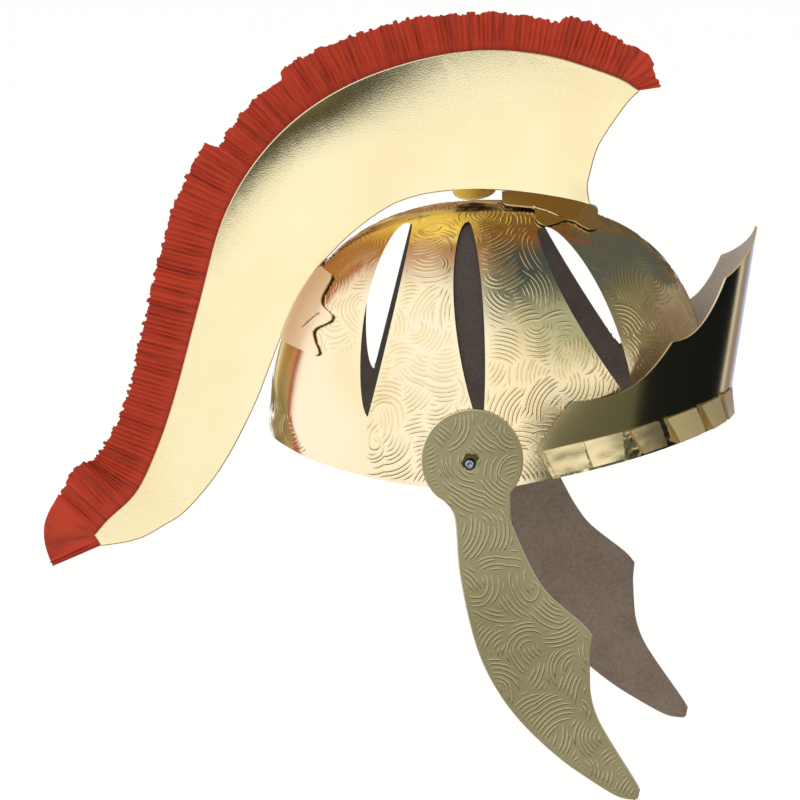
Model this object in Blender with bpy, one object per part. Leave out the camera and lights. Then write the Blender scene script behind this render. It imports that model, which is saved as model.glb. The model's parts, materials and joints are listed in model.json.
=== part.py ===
"""Costume Roman helmet of foil covered card: crown, visor, crest, plume and two cheek guards.

Metres, +Z up, +X to the wearer's front, -Y to the wearer's right. The origin is the centre
of the head opening, level with the lowest part of the rim above the ears.
"""
from math import asin, atan2, ceil, cos, hypot, pi, radians, sin

import bmesh
import bpy
from mathutils import Vector

# Card and clearances
CARD = 0.001
CREST_CARD = 0.001
TAB_CARD = 0.0008
GAP = 0.0003
TAB_GAP = 0.0006

# Crown
CROWN_FRONT = 0.111
CROWN_BACK = 0.1095
CROWN_HALF_WIDTH = 0.087
CROWN_HEIGHT = 0.128
FRONT_SQUARENESS = 2.85
BACK_SQUARENESS = 2.42
SIDE_SQUARENESS = 2.5
RIM_FRONT_RISE = 0.024
RIM_BACK_RISE = 0.015
RIM_BROW_CURVE = 1.2

# Visor
VISOR_STAND_OFF = 0.0028
VISOR_SEAT_GAP = 0.0004
VISOR_SEAT_TURN = radians(24)
VISOR_LEAN = 0.15
VISOR_PEAK = 0.117
VISOR_HALF_TURN = radians(77)

# Crest boards and plume
CREST_FRONT_REACH = 0.0745
CREST_RISE = 0.0765
CREST_ARCH = 0.0072
TAIL_REACH = 0.0855
TAIL_DROP = 0.044
PLUME_ROOT = 0.014
PLUME_PROUD = 0.025
PLUME_SHEET = 0.0018
PLEAT_PITCH = 0.0070
PLEAT_SWING = 0.0030
TAIL_FAN = radians(-8)
BROW_FAN = radians(46)

# Inner strap
STRAP_WIDTH = 0.033
STRAP_CENTRE = -0.0075
STRAP_END_HEIGHT = 0.052
STRAP_GAP = 0.0005

# Cheek guards and their rivets
PIVOT_X = {"right": -0.008, "left": 0.010}
PIVOT_Z = 0.013
GUARD_DISC_RADIUS = 0.0248
GUARD_LENGTH = 0.166
GUARD_REACH = 0.083
GUARD_DISC_FORWARD = 0.0012
GUARD_DISC_RAISE = 0.0022
GUARD_TURN = {"right": 0.0, "left": radians(3)}
RIVET_RADIUS = 0.0015
RIVET_HEAD_RADIUS = 0.0024
RIVET_HEAD = 0.0010
RIVET_CLINCH_RADIUS = 0.0035
RIVET_CLINCH = 0.0005

# A rivet's two rounded ends: radius as a share of the end's own, depth as a share of it.
CLINCH_DOME = ((0.8, 1.0), (1.0, 0.5), (1.0, 0.0))
HEAD_DOME = ((1.0, 0.0), (0.9, 0.6), (0.5, 1.0))

# Slots, seen from the side: ends as shares of the crown's half length and of its height, and
# how far each edge bows from the straight line between them, as shares of the half length.
SLOTS = (
    {"name": "back", "top": (-0.335, 0.945), "low": (-0.523, 0.262),
     "bow_back": 0.1206, "bow_front": 0.0045},
    {"name": "middle", "top": (-0.086, 0.965), "low": (-0.021, 0.245),
     "bow_back": 0.0834, "bow_front": 0.0454},
    {"name": "front", "top": (0.224, 0.941), "low": (0.633, 0.324),
     "bow_back": 0.0327, "bow_front": 0.1188},
)
SLOT_FULLNESS = 0.43
SLOT_TOP_HEAVINESS = 1.4

# Where the cutters of slots and pivot holes begin and end, as shares of the crown's half width.
SLOT_CUT = (0.10, 1.2)
PIVOT_CUT = (0.8, 1.2)

# Visor top edge: turn from the front as a share of the visor's half turn, height as a share
# of its peak, and how deeply the edge is scooped on its way to the next row.
VISOR_TOP = (
    {"turn": 0.00, "height": 1.000, "scoop": 1.15},
    {"turn": 0.335, "height": 0.830, "scoop": 2.40},
    {"turn": 0.57, "height": 0.590, "scoop": 2.60},
    {"turn": 0.89, "height": 0.364, "scoop": 0.85},
    {"turn": 1.00, "height": 0.171, "scoop": 1.00},
)
VISOR_END_TURN = 0.95

# Crest outlines as shares of the crest's length from the tail and of its height.
CREST_OUTER = ((0.000, 0.021), (0.026, 0.054), (0.075, 0.106), (0.110, 0.181), (0.147, 0.296),
               (0.197, 0.499), (0.237, 0.656), (0.298, 0.776), (0.382, 0.871), (0.485, 0.939),
               (0.610, 0.984), (0.727, 1.000), (0.845, 0.986), (0.963, 0.944))
CREST_BROW = ((1.000, 0.919), (0.974, 0.889), (0.929, 0.816), (0.914, 0.769), (0.906, 0.727))
CREST_TAIL = ((0.315, 0.338), (0.300, 0.296), (0.260, 0.207), (0.217, 0.132), (0.166, 0.069),
              (0.133, 0.045), (0.094, 0.020), (0.056, 0.007), (0.012, 0.000))

# Gap under the crest: place as a share of the crown's half length, gap as a share of CREST_ARCH.
CREST_UNDER = ((0.444, 0.55), (0.280, 0.68), (0.060, 0.95), (-0.050, 1.00), (-0.290, 1.00),
               (-0.395, 0.90), (-0.565, 0.42), (-0.680, 0.18), (-0.785, 0.10), (-0.928, 0.08))

# Tabs folded out from the crest boards: stations along the fold as shares of the crown's half
# length or height, and how far the tab reaches to the side as shares of the half width.
# A tab's root is sunk into its board by a share of the board's card.
FRONT_TAB = ((0.060, 0.16), (0.200, 0.17), (0.212, 0.36), (0.235, 0.39), (0.280, 0.35),
             (0.350, 0.25), (0.400, 0.28), (0.450, 0.31), (0.478, 0.28), (0.496, 0.19))
MIDDLE_TAB = ((-0.152, 0.05), (-0.125, 0.10), (-0.065, 0.125), (-0.005, 0.10), (0.024, 0.05))
REAR_TAB = ((0.475, 0.50), (0.490, 0.56), (0.555, 0.46), (0.600, 0.55), (0.615, 0.54),
            (0.660, 0.38), (0.735, 0.32), (0.745, 0.31))
TAB_FOLD_RUN = 0.0084
TAB_ROOT_DEPTH = 0.3
TAB_COLUMN_SPREAD = 1.5
TAB_STATION_STEP = 0.065
TAB_REACH_STEP = 0.09

# Plume edge: place along the crest's outer edge, and how far the paper stands proud.
PLUME_EDGE = ((0.00, 1.04), (0.03, 1.10), (0.05, 1.20), (0.09, 1.10), (0.16, 0.93), (0.215, 0.93),
              (0.267, 0.98), (0.306, 1.00), (0.41, 1.02), (0.489, 1.03), (0.494, 0.76),
              (0.56, 0.86), (0.587, 0.80), (0.592, 0.90), (0.61, 0.95), (0.657, 0.86),
              (0.722, 0.84), (0.773, 0.77), (0.849, 0.72), (0.89, 0.67), (0.895, 0.86),
              (0.92, 0.88), (0.95, 0.74), (0.98, 0.68), (1.00, 0.42))
PLUME_FAN_SHARE = 0.03

# The plume's root grows shallower towards both ends, down to a share of PLUME_ROOT.
PLUME_ROOT_TAPER = 0.07
PLUME_END_ROOT = 0.15

# A pleat at its middle and its free edge, as shares of its length, swing and sheet.
PLEAT_MIDDLE = {"place": 0.35, "swing": 0.7, "sheet": 0.9}
PLEAT_TIP = {"place": 1.0, "swing": 1.0, "sheet": 0.8}

# Guard blade edges, from the disc to the tip, as shares of its reach and of its length.
GUARD_FRONT_UPPER = ((0.241, -0.150), (0.265, -0.199), (0.427, -0.362), (0.665, -0.474))
GUARD_FRONT_LOWER = ((0.722, -0.510), (0.707, -0.589), (0.742, -0.740), (0.987, -0.952))
GUARD_TIP = ((0.999, -0.977), (0.990, -0.996), (0.964, -1.000))
GUARD_BACK = ((0.855, -0.986), (0.540, -0.880), (0.247, -0.734), (0.057, -0.565),
              (-0.051, -0.344), (-0.087, -0.159))

CROWN_SPAN = CROWN_FRONT + CROWN_BACK
CREST_INNER_FACE = PLUME_SHEET / 2 + GAP
CREST_OUTER_FACE = CREST_INNER_FACE + CREST_CARD
GUARD_INNER_FACE = CROWN_HALF_WIDTH + GAP
GUARD_OUTER_FACE = GUARD_INNER_FACE + CARD
SIDES = {"right": -1, "left": 1}


def clear_scene():
    for old in list(bpy.data.objects):
        bpy.data.objects.remove(old)


def finish(name, colour, metallic, roughness):
    """A Principled material with one plain colour."""
    material = bpy.data.materials.new(name)
    material.use_nodes = True
    shader = material.node_tree.nodes["Principled BSDF"]
    shader.inputs["Base Color"].default_value = (*colour, 1)
    shader.inputs["Metallic"].default_value = metallic
    shader.inputs["Roughness"].default_value = roughness
    return material


def add_object(name, mesh, material=None):
    piece = bpy.data.objects.new(name, mesh)
    bpy.context.collection.objects.link(piece)
    if material:
        mesh.materials.append(material)
        mesh.shade_smooth()
        mesh.set_sharp_from_angle(angle=radians(35))
    return piece


def mesh_from(name, shape):
    bmesh.ops.recalc_face_normals(shape, faces=shape.faces)
    mesh = bpy.data.meshes.new(name)
    shape.to_mesh(mesh)
    shape.free()
    return mesh


def combine(piece, tool, operation):
    """Cut a tool from a piece, or join it on; the tool itself is only a guide."""
    tool.hide_render = True
    tool.display_type = "WIRE"
    boolean = piece.modifiers.new(tool.name, "BOOLEAN")
    boolean.operation = operation
    boolean.object = tool


def smooth_line(points, steps):
    """A Catmull-Rom line through the points, with so many steps between each two."""
    points = [Vector(point) for point in points]
    before = points[0] * 2 - points[1]
    after = points[-1] * 2 - points[-2]
    chain = [before, *points, after]
    line = []
    for a, b, c, d in zip(chain, chain[1:], chain[2:], chain[3:]):
        for step in range(steps):
            t = step / steps
            line.append(0.5 * (2 * b + (c - a) * t + (2 * a - 5 * b + 4 * c - d) * t ** 2
                               + (3 * b - a - 3 * c + d) * t ** 3))
    line.append(points[-1])
    return line


def from_table(rows, place):
    """Straight interpolation in rows of (place, value), in either order of places."""
    rows = sorted(rows)
    if place <= rows[0][0]:
        return rows[0][1]
    for (low, low_value), (high, high_value) in zip(rows, rows[1:]):
        if place <= high:
            return low_value + (high_value - low_value) * (place - low) / (high - low)
    return rows[-1][1]


def squareness(turn):
    """The dome's superellipse exponent: one for the front, one for the back, one for the sides."""
    end = FRONT_SQUARENESS if cos(turn) > 0 else BACK_SQUARENESS
    return end * cos(turn) ** 2 + SIDE_SQUARENESS * sin(turn) ** 2


def crown_surface(turn, lift):
    """The crown's outer face: turn about +Z from the front, lift from 0 at the rim to pi / 2."""
    power = 2 / squareness(turn)
    ring = max(cos(lift), 0) ** power
    length = CROWN_FRONT if cos(turn) > 0 else CROWN_BACK
    return Vector((length * ring * cos(turn), CROWN_HALF_WIDTH * ring * sin(turn),
                   CROWN_HEIGHT * max(sin(lift), 0) ** power))


def crown_at(turn, lift, out=0.0):
    """A point on the crown's outer face, moved outward along its normal."""
    point = crown_surface(turn, lift)
    step = 0.002
    low = min(max(lift, step), pi / 2 - 2 * step)
    if lift > pi / 2 - step:
        return point + Vector((0, 0, out))
    across = crown_surface(turn + step, low) - crown_surface(turn - step, low)
    upward = crown_surface(turn, low + step) - crown_surface(turn, low - step)
    return point + across.cross(upward).normalized() * out


def crown_hit(start, way, out):
    """Where a line from inside the crown meets its outer face, moved outward by out."""
    start, way = Vector(start), Vector(way).normalized()
    near, far = 0.0, CROWN_SPAN
    for _ in range(40):
        middle = (near + far) / 2
        x, y, z = start + way * middle
        length = CROWN_FRONT if x > 0 else CROWN_BACK
        power = squareness(atan2(y / CROWN_HALF_WIDTH, x / length))
        ring = hypot(x / length, y / CROWN_HALF_WIDTH)
        if ring ** power + (max(z, 0) / CROWN_HEIGHT) ** power < 1:
            near = middle
        else:
            far = middle
    x, y, z = start + way * near
    length = CROWN_FRONT if x > 0 else CROWN_BACK
    turn = atan2(y / CROWN_HALF_WIDTH, x / length)
    lift = asin(min(max(z, 0) / CROWN_HEIGHT, 1) ** (squareness(turn) / 2))
    return crown_at(turn, lift, out)


def rim_height(turn):
    """The rim is lowest above the ears and rises to the brow and to the nape."""
    if cos(turn) > 0:
        return RIM_FRONT_RISE * cos(turn) ** RIM_BROW_CURVE
    return RIM_BACK_RISE * cos(turn) ** 2


def skin(shape, outer, inner, closed):
    """Faces of a thin wall from two equal grids of vertices, with its edges closed."""
    rows, columns = len(outer), len(outer[0])
    span = columns if closed else columns - 1
    for grid in (outer, inner):
        for row, above in zip(grid, grid[1:]):
            for i in range(span):
                j = (i + 1) % columns
                shape.faces.new((row[i], row[j], above[j], above[i]))
    for row in (0, rows - 1):
        for i in range(span):
            j = (i + 1) % columns
            shape.faces.new((outer[row][i], outer[row][j], inner[row][j], inner[row][i]))
    if not closed:
        for column in (0, columns - 1):
            for row in range(rows - 1):
                shape.faces.new((outer[row][column], outer[row + 1][column],
                                 inner[row + 1][column], inner[row][column]))


def wall(name, outer_points, inner_points, closed=False):
    shape = bmesh.new()
    outer = [[shape.verts.new(point) for point in row] for row in outer_points]
    inner = [[shape.verts.new(point) for point in row] for row in inner_points]
    skin(shape, outer, inner, closed)
    return mesh_from(name, shape)


def plate(name, outline, near, far):
    """A flat card piece: an outline in X and Z between two values of Y."""
    shape = bmesh.new()
    face = shape.faces.new([shape.verts.new((x, near, z)) for x, z in outline])
    grown = bmesh.ops.extrude_face_region(shape, geom=[face])
    moved = [item for item in grown["geom"] if isinstance(item, bmesh.types.BMVert)]
    bmesh.ops.translate(shape, verts=moved, vec=(0, far - near, 0))
    return mesh_from(name, shape)


def turned(name, profile, centre, side, segments=20):
    """A round piece about Y from rows of (radius, distance outward), closed at both ends."""
    shape = bmesh.new()
    rings = []
    for radius, outward in profile:
        rings.append([shape.verts.new((centre[0] + radius * cos(2 * pi * i / segments),
                                       side * outward,
                                       centre[1] + radius * sin(2 * pi * i / segments)))
                      for i in range(segments)])
    for ring, following in zip(rings, rings[1:]):
        for i in range(segments):
            j = (i + 1) % segments
            shape.faces.new((ring[i], ring[j], following[j], following[i]))
    shape.faces.new(rings[0])
    shape.faces.new(rings[-1])
    return mesh_from(name, shape)


def slot_outline(slot):
    """A lens between two ends, blunter at its top, its edges bowed by different amounts."""
    half_length = (CROWN_FRONT + CROWN_BACK) / 2
    top = Vector((slot["top"][0] * half_length, slot["top"][1] * CROWN_HEIGHT))
    low = Vector((slot["low"][0] * half_length, slot["low"][1] * CROWN_HEIGHT))
    along = top - low
    forward = Vector((along.y, -along.x)).normalized()
    outline = []
    steps = 11
    for bow, order in ((slot["bow_front"], range(steps)), (-slot["bow_back"], range(steps, 0, -1))):
        for step in order:
            share = (1 - cos(pi * step / steps)) / 2
            fullness = max(sin(pi * share ** SLOT_TOP_HEAVINESS), 0) ** SLOT_FULLNESS
            outline.append(low + along * share + forward * bow * half_length * fullness)
    return outline


def build_crown(material):
    around, upward = 56, 12
    outer, inner = [], []
    for row in range(upward):
        outer_row, inner_row = [], []
        for i in range(around):
            turn = 2 * pi * i / around
            first = asin((rim_height(turn) / CROWN_HEIGHT) ** (squareness(turn) / 2))
            lift = first + (pi / 2 - first) * row / upward
            outer_row.append(crown_at(turn, lift))
            inner_row.append(crown_at(turn, lift, -CARD))
        outer.append(outer_row)
        inner.append(inner_row)
    shape = bmesh.new()
    for points, height in ((outer, CROWN_HEIGHT), (inner, CROWN_HEIGHT - CARD)):
        rows = [[shape.verts.new(point) for point in row] for row in points]
        for row, above in zip(rows, rows[1:]):
            for i in range(around):
                j = (i + 1) % around
                shape.faces.new((row[i], row[j], above[j], above[i]))
        top = shape.verts.new((0, 0, height))
        for i in range(around):
            shape.faces.new((rows[-1][i], rows[-1][(i + 1) % around], top))
    shape.verts.ensure_lookup_table()
    inner_start = around * upward + 1
    for i in range(around):
        j = (i + 1) % around
        shape.faces.new((shape.verts[i], shape.verts[j],
                         shape.verts[inner_start + j], shape.verts[inner_start + i]))
    crown = add_object("crown", mesh_from("crown", shape), material)
    for side_name, side in SIDES.items():
        for slot in SLOTS:
            name = "slot_cutter_" + slot["name"] + "_" + side_name
            near, far = (side * share * CROWN_HALF_WIDTH for share in SLOT_CUT)
            cutter = plate(name, slot_outline(slot), near, far)
            combine(crown, add_object(name, cutter), "DIFFERENCE")
        combine(crown, pivot_cutter(side_name, "crown"), "DIFFERENCE")
    return crown


def pivot_cutter(side_name, carrier):
    """The clearance hole round a rivet's shank, cut through one carrier."""
    name = "pivot_cutter_" + carrier + "_" + side_name
    profile = [(RIVET_RADIUS + GAP, share * CROWN_HALF_WIDTH) for share in PIVOT_CUT]
    return add_object(name, turned(name, profile, (PIVOT_X[side_name], PIVOT_Z), SIDES[side_name]))


def visor_top(turn):
    """Height of the visor's upper edge: a centre peak, then two pairs of cusps."""
    share = min(abs(turn) / VISOR_HALF_TURN, 1)
    for row, following in zip(VISOR_TOP, VISOR_TOP[1:]):
        if share <= following["turn"]:
            left = 1 - (share - row["turn"]) / (following["turn"] - row["turn"])
            fall = row["height"] - following["height"]
            return VISOR_PEAK * (following["height"] + fall * left ** row["scoop"])
    return VISOR_PEAK * VISOR_TOP[-1]["height"]


def visor_bottom(turn):
    """The lower edge follows the rim, and each end is cut up to a point."""
    share = min(abs(turn) / VISOR_HALF_TURN, 1)
    level = rim_height(turn)
    if share <= VISOR_END_TURN:
        return level
    end = VISOR_PEAK * VISOR_TOP[-1]["height"] - CARD
    return level + (end - level) * (share - VISOR_END_TURN) / (1 - VISOR_END_TURN)


def visor_point(turn, height, inward):
    """The visor leans out in front of the brow and lies on the crown at both its ends."""
    power = squareness(turn)
    ring = max(1 - (height / CROWN_HEIGHT) ** power, 0) ** (1 / power)
    share = min(max((VISOR_HALF_TURN - abs(turn)) / VISOR_SEAT_TURN, 0), 1)
    free = share * share * (3 - 2 * share)
    stand_off = VISOR_STAND_OFF + VISOR_LEAN * height
    length = CROWN_FRONT * (ring + (1 - ring) * free) + stand_off * free
    width = CROWN_HALF_WIDTH * (ring + (1 - ring) * free)
    wall_out = VISOR_SEAT_GAP + CARD - inward
    return Vector(((length + wall_out) * cos(turn), (width + wall_out) * sin(turn), height))


def build_visor(material):
    turns = []
    for row, following in zip(VISOR_TOP, VISOR_TOP[1:]):
        steps = max(2, ceil((following["turn"] - row["turn"]) * 24))
        turns += [row["turn"] + (following["turn"] - row["turn"]) * i / steps for i in range(steps)]
    turns = sorted(set(turns) | {VISOR_END_TURN, 1.0})
    turns = [-turn for turn in reversed(turns[1:])] + turns
    levels = 4
    grids = []
    for inward in (0, CARD):
        grid = []
        for level in range(levels + 1):
            row = []
            for share in turns:
                turn = share * VISOR_HALF_TURN
                low, high = visor_bottom(turn), visor_top(turn)
                row.append(visor_point(turn, low + (high - low) * level / levels, inward))
            grid.append(row)
        grids.append(grid)
    return add_object("visor", wall("visor", *grids), material)


def crest_place(along, up):
    """A point in X and Z from shares of the crest's length and height."""
    length = TAIL_REACH + CROWN_BACK + CREST_FRONT_REACH
    height = TAIL_DROP + CROWN_HEIGHT + CREST_RISE
    return Vector((along * length - CROWN_BACK - TAIL_REACH, up * height - TAIL_DROP))


def crest_outer_line(steps):
    return smooth_line([crest_place(*row) for row in CREST_OUTER], steps)


def half_length_at(share):
    return share * (CROWN_FRONT if share > 0 else CROWN_BACK)


def crest_under_line():
    """The lower edge, from the brow to the nape, a little above the crown."""
    line = []
    steps = 34
    first, last = CREST_UNDER[0][0], CREST_UNDER[-1][0]
    for step in range(steps + 1):
        share = first + (last - first) * step / steps
        gap = CREST_ARCH * from_table(CREST_UNDER, share)
        point = crown_hit((half_length_at(share), 0, 0), (0, 0, 1), gap)
        line.append(Vector((point.x, point.z)))
    return line


def crest_outline():
    brow = smooth_line([crest_place(*row) for row in CREST_BROW], 3)
    tail = smooth_line([crest_place(*row) for row in CREST_TAIL], 2)
    return crest_outer_line(3) + brow + crest_under_line() + tail


def close_stations(rows):
    """The rows of a tab's table with more rows between them, so that it lies close."""
    filled = [rows[0]]
    for row, following in zip(rows, rows[1:]):
        steps = ceil(max(abs(following[0] - row[0]) / TAB_STATION_STEP,
                         abs(following[1] - row[1]) / TAB_REACH_STEP))
        for step in range(1, steps + 1):
            share = step / steps
            filled.append(tuple(a + (b - a) * share for a, b in zip(row, following)))
    return filled


def tab_wall(name, rows, landing, side):
    """A card tab that leaves the crest's lower edge and comes to lie on the crown.

    landing gives a point on the crown for a station, a place to the side and an offset.
    """
    columns = 8
    lower, upper = [], []
    for station, reach in close_stations(rows):
        root = CREST_INNER_FACE + CREST_CARD * TAB_ROOT_DEPTH
        tip = max(reach * CROWN_HALF_WIDTH, CREST_OUTER_FACE + TAB_CARD)
        low_row, high_row = [], []
        for column in range(columns):
            y = root + (tip - root) * (column / (columns - 1)) ** TAB_COLUMN_SPREAD
            gap = CREST_ARCH * landing["gap"](station)
            settled = min(1, (y - root) / TAB_FOLD_RUN)
            out = TAB_GAP + max(gap - TAB_GAP, 0) * (1 - settled) ** 2
            low_row.append(landing["point"](station, side * y, out))
            high_row.append(landing["point"](station, side * y, out + TAB_CARD))
        lower.append(low_row)
        upper.append(high_row)
    return add_object(name, wall(name, upper, lower))


def top_landing(station, y, out):
    return crown_hit((half_length_at(station), y, 0), (0, 0, 1), out)


def nape_landing(station, y, out):
    return crown_hit((0, y, station * CROWN_HEIGHT), (-1, 0, 0), out)


def nape_gap(station):
    """The gap under the crest at a height on the back of the crown."""
    point = crown_hit((0, 0, station * CROWN_HEIGHT), (-1, 0, 0), 0)
    return from_table(CREST_UNDER, point.x / CROWN_BACK)


def build_crest_board(side_name, material):
    side = SIDES[side_name]
    name = "crest_board_" + side_name
    mesh = plate(name, crest_outline(), side * CREST_INNER_FACE, side * CREST_OUTER_FACE)
    board = add_object(name, mesh, material)
    on_top = {"point": top_landing, "gap": lambda station: from_table(CREST_UNDER, station)}
    on_nape = {"point": nape_landing, "gap": nape_gap}
    for tab_name, stations, landing in (("front", FRONT_TAB, on_top), ("middle", MIDDLE_TAB, on_top),
                                        ("rear", REAR_TAB, on_nape)):
        tab = tab_wall("tab_" + tab_name + "_" + side_name, stations, landing, side)
        combine(board, tab, "UNION")
    return board


def plume_stations(line):
    """Places along the crest's outer edge with the way each pleat points, fanned at both ends."""
    lengths = [0.0]
    for a, b in zip(line, line[1:]):
        lengths.append(lengths[-1] + (b - a).length)
    stations = []
    for i, spot in enumerate(line):
        share = lengths[i] / lengths[-1]
        along = line[min(i + 1, len(line) - 1)] - line[max(i - 1, 0)]
        normal = Vector((-along.y, along.x)).normalized()
        fan = (TAIL_FAN * max(1 - share / PLUME_FAN_SHARE, 0)
               - BROW_FAN * max(1 - (1 - share) / PLUME_FAN_SHARE, 0))
        way = Vector((normal.x * cos(fan) - normal.y * sin(fan),
                      normal.x * sin(fan) + normal.y * cos(fan)))
        taper = min(1, min(share, 1 - share) / PLUME_ROOT_TAPER + PLUME_END_ROOT)
        stations.append({"spot": spot, "normal": normal, "way": way, "root": PLUME_ROOT * taper,
                         "proud": PLUME_PROUD * from_table(PLUME_EDGE, share)})
    return stations


def blend_stations(low, high, share):
    return {key: low[key] + (high[key] - low[key]) * share for key in low}


def spread_pleats(stations):
    """Stations at equal distances along the plume's free edge, two for each pleat."""
    edge = [station["spot"] + station["way"] * station["proud"] for station in stations]
    lengths = [0.0]
    for a, b in zip(edge, edge[1:]):
        lengths.append(lengths[-1] + (b - a).length)
    count = 2 * round(lengths[-1] / PLEAT_PITCH)
    pleats = []
    index = 0
    for i in range(count + 1):
        wanted = lengths[-1] * i / count
        while index < len(edge) - 2 and lengths[index + 1] < wanted:
            index += 1
        share = (wanted - lengths[index]) / (lengths[index + 1] - lengths[index])
        pleats.append(blend_stations(stations[index], stations[index + 1], share))
    return pleats


def build_plume(material):
    """A frill of crepe paper, flat between the boards and pleated beyond their edge."""
    rows = (CREST_TAIL[-1], *CREST_OUTER, CREST_BROW[0])
    rim = smooth_line([crest_place(*row) for row in rows], 16)
    pleats = spread_pleats(plume_stations(rim))
    half = PLUME_SHEET / 2
    sheets = []
    for face in (1, -1):
        root, edge = [], []
        beyond = [(PLEAT_MIDDLE, []), (PLEAT_TIP, [])]
        for i, pleat in enumerate(pleats):
            swing = PLEAT_SWING * (1 if i % 2 else -1)
            inner = pleat["spot"] - pleat["normal"] * pleat["root"]
            outer = pleat["spot"] + pleat["normal"] * GAP
            root.append(Vector((inner.x, face * half, inner.y)))
            edge.append(Vector((outer.x, face * half, outer.y)))
            for place, line in beyond:
                spot = outer + pleat["way"] * (pleat["proud"] - GAP) * place["place"]
                y = swing * place["swing"] + face * half * place["sheet"]
                line.append(Vector((spot.x, y, spot.y)))
        sheets.append([root, edge, *(line for _, line in beyond)])
    return add_object("plume", wall("plume", *sheets), material)


def build_inner_strap(material):
    """A plain card strap inside the crown, from above one ear over the top to the other."""
    across, along = 4, 26
    grids = []
    inside = CARD + STRAP_GAP
    for out in (-inside, -inside - CARD):
        grid = []
        for i in range(across + 1):
            x = STRAP_CENTRE + STRAP_WIDTH * (i / across - 0.5)
            side_point = crown_hit((x, 0, STRAP_END_HEIGHT), (0, 1, 0), 0)
            end_lean = atan2(side_point.y, STRAP_END_HEIGHT)
            row = []
            for j in range(along + 1):
                lean = end_lean * (2 * j / along - 1)
                row.append(crown_hit((x, 0, 0), (0, sin(lean), cos(lean)), out))
            grid.append(row)
        grids.append(grid)
    return add_object("inner_strap", wall("inner_strap", *grids), material)


def guard_outline():
    """A round head and a long curved blade with one notch, about the pivot, front up."""
    def blade(rows, steps):
        return smooth_line([(x * GUARD_REACH, z * GUARD_LENGTH) for x, z in rows], steps)
    centre = Vector((GUARD_DISC_FORWARD, GUARD_DISC_RAISE))
    start = blade(GUARD_BACK, 3)[-1] - centre
    end = blade(GUARD_FRONT_UPPER, 3)[0] - centre
    first = atan2(start.y, start.x)
    last = atan2(end.y, end.x)
    sweep = (last - first) % (2 * pi) - 2 * pi
    steps = 22
    disc = []
    for step in range(1, steps):
        angle = first + sweep * step / steps
        disc.append(centre + Vector((cos(angle), sin(angle))) * GUARD_DISC_RADIUS)
    edge = blade(GUARD_FRONT_UPPER, 3) + blade(GUARD_FRONT_LOWER, 3) + blade(GUARD_TIP, 2)
    return disc + edge + blade(GUARD_BACK, 3)


def build_cheek_guard(side_name, material):
    side = SIDES[side_name]
    name = "cheek_guard_" + side_name
    pivot = bpy.data.objects.new("cheek_pivot_" + side_name, None)
    pivot.location = (PIVOT_X[side_name], 0, PIVOT_Z)
    pivot.rotation_euler = (0, -GUARD_TURN[side_name], 0)
    bpy.context.collection.objects.link(pivot)
    mesh = plate(name, guard_outline(), side * GUARD_INNER_FACE, side * GUARD_OUTER_FACE)
    guard = add_object(name, mesh, material)
    guard.parent = pivot
    combine(guard, pivot_cutter(side_name, "guard"), "DIFFERENCE")
    return guard


def build_rivet(side_name, material):
    """A small domed head outside, a shank through guard and crown, and a clinched end inside."""
    away = RIVET_CLINCH_RADIUS if PIVOT_X[side_name] > 0 else -RIVET_CLINCH_RADIUS
    clinch_edge = (PIVOT_X[side_name] + away, 0, PIVOT_Z + RIVET_CLINCH_RADIUS)
    inside = crown_hit(clinch_edge, (0, 1, 0), 0).y - CARD - GAP
    head = GUARD_OUTER_FACE + GAP
    profile = [(RIVET_CLINCH_RADIUS * width, inside - RIVET_CLINCH * depth)
               for width, depth in CLINCH_DOME]
    profile += [(RIVET_RADIUS, inside), (RIVET_RADIUS, head)]
    profile += [(RIVET_HEAD_RADIUS * width, head + RIVET_HEAD * depth)
                for width, depth in HEAD_DOME]
    name = "rivet_" + side_name
    mesh = turned(name, profile, (PIVOT_X[side_name], PIVOT_Z), SIDES[side_name])
    return add_object(name, mesh, material)


def main():
    clear_scene()
    crown_foil = finish("embossed_gold_foil", (0.78, 0.58, 0.22), 1.0, 0.28)
    visor_foil = finish("plain_dark_gold_foil", (0.62, 0.52, 0.28), 1.0, 0.22)
    crest_foil = finish("plain_gold_foil", (0.90, 0.76, 0.42), 1.0, 0.20)
    guard_foil = finish("embossed_olive_gold_foil", (0.55, 0.48, 0.24), 1.0, 0.30)
    raw_card = finish("raw_grey_brown_card", (0.20, 0.16, 0.13), 0.0, 0.85)
    crepe = finish("red_crepe_paper", (0.55, 0.05, 0.02), 0.0, 0.90)
    steel = finish("blued_steel", (0.35, 0.42, 0.50), 1.0, 0.30)
    build_crown(crown_foil)
    build_visor(visor_foil)
    build_inner_strap(raw_card)
    build_plume(crepe)
    for side_name in SIDES:
        build_crest_board(side_name, crest_foil)
        build_cheek_guard(side_name, guard_foil)
        build_rivet(side_name, steel)


main()
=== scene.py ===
"""Looks of a costume Roman helmet of embossed and smooth gold foil card with a crepe paper plume."""
import json
import random
from math import asin, atan2, ceil, cos, exp, hypot, pi, radians, sin

import bmesh
import bpy
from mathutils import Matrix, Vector, geometry, kdtree, noise


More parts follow.
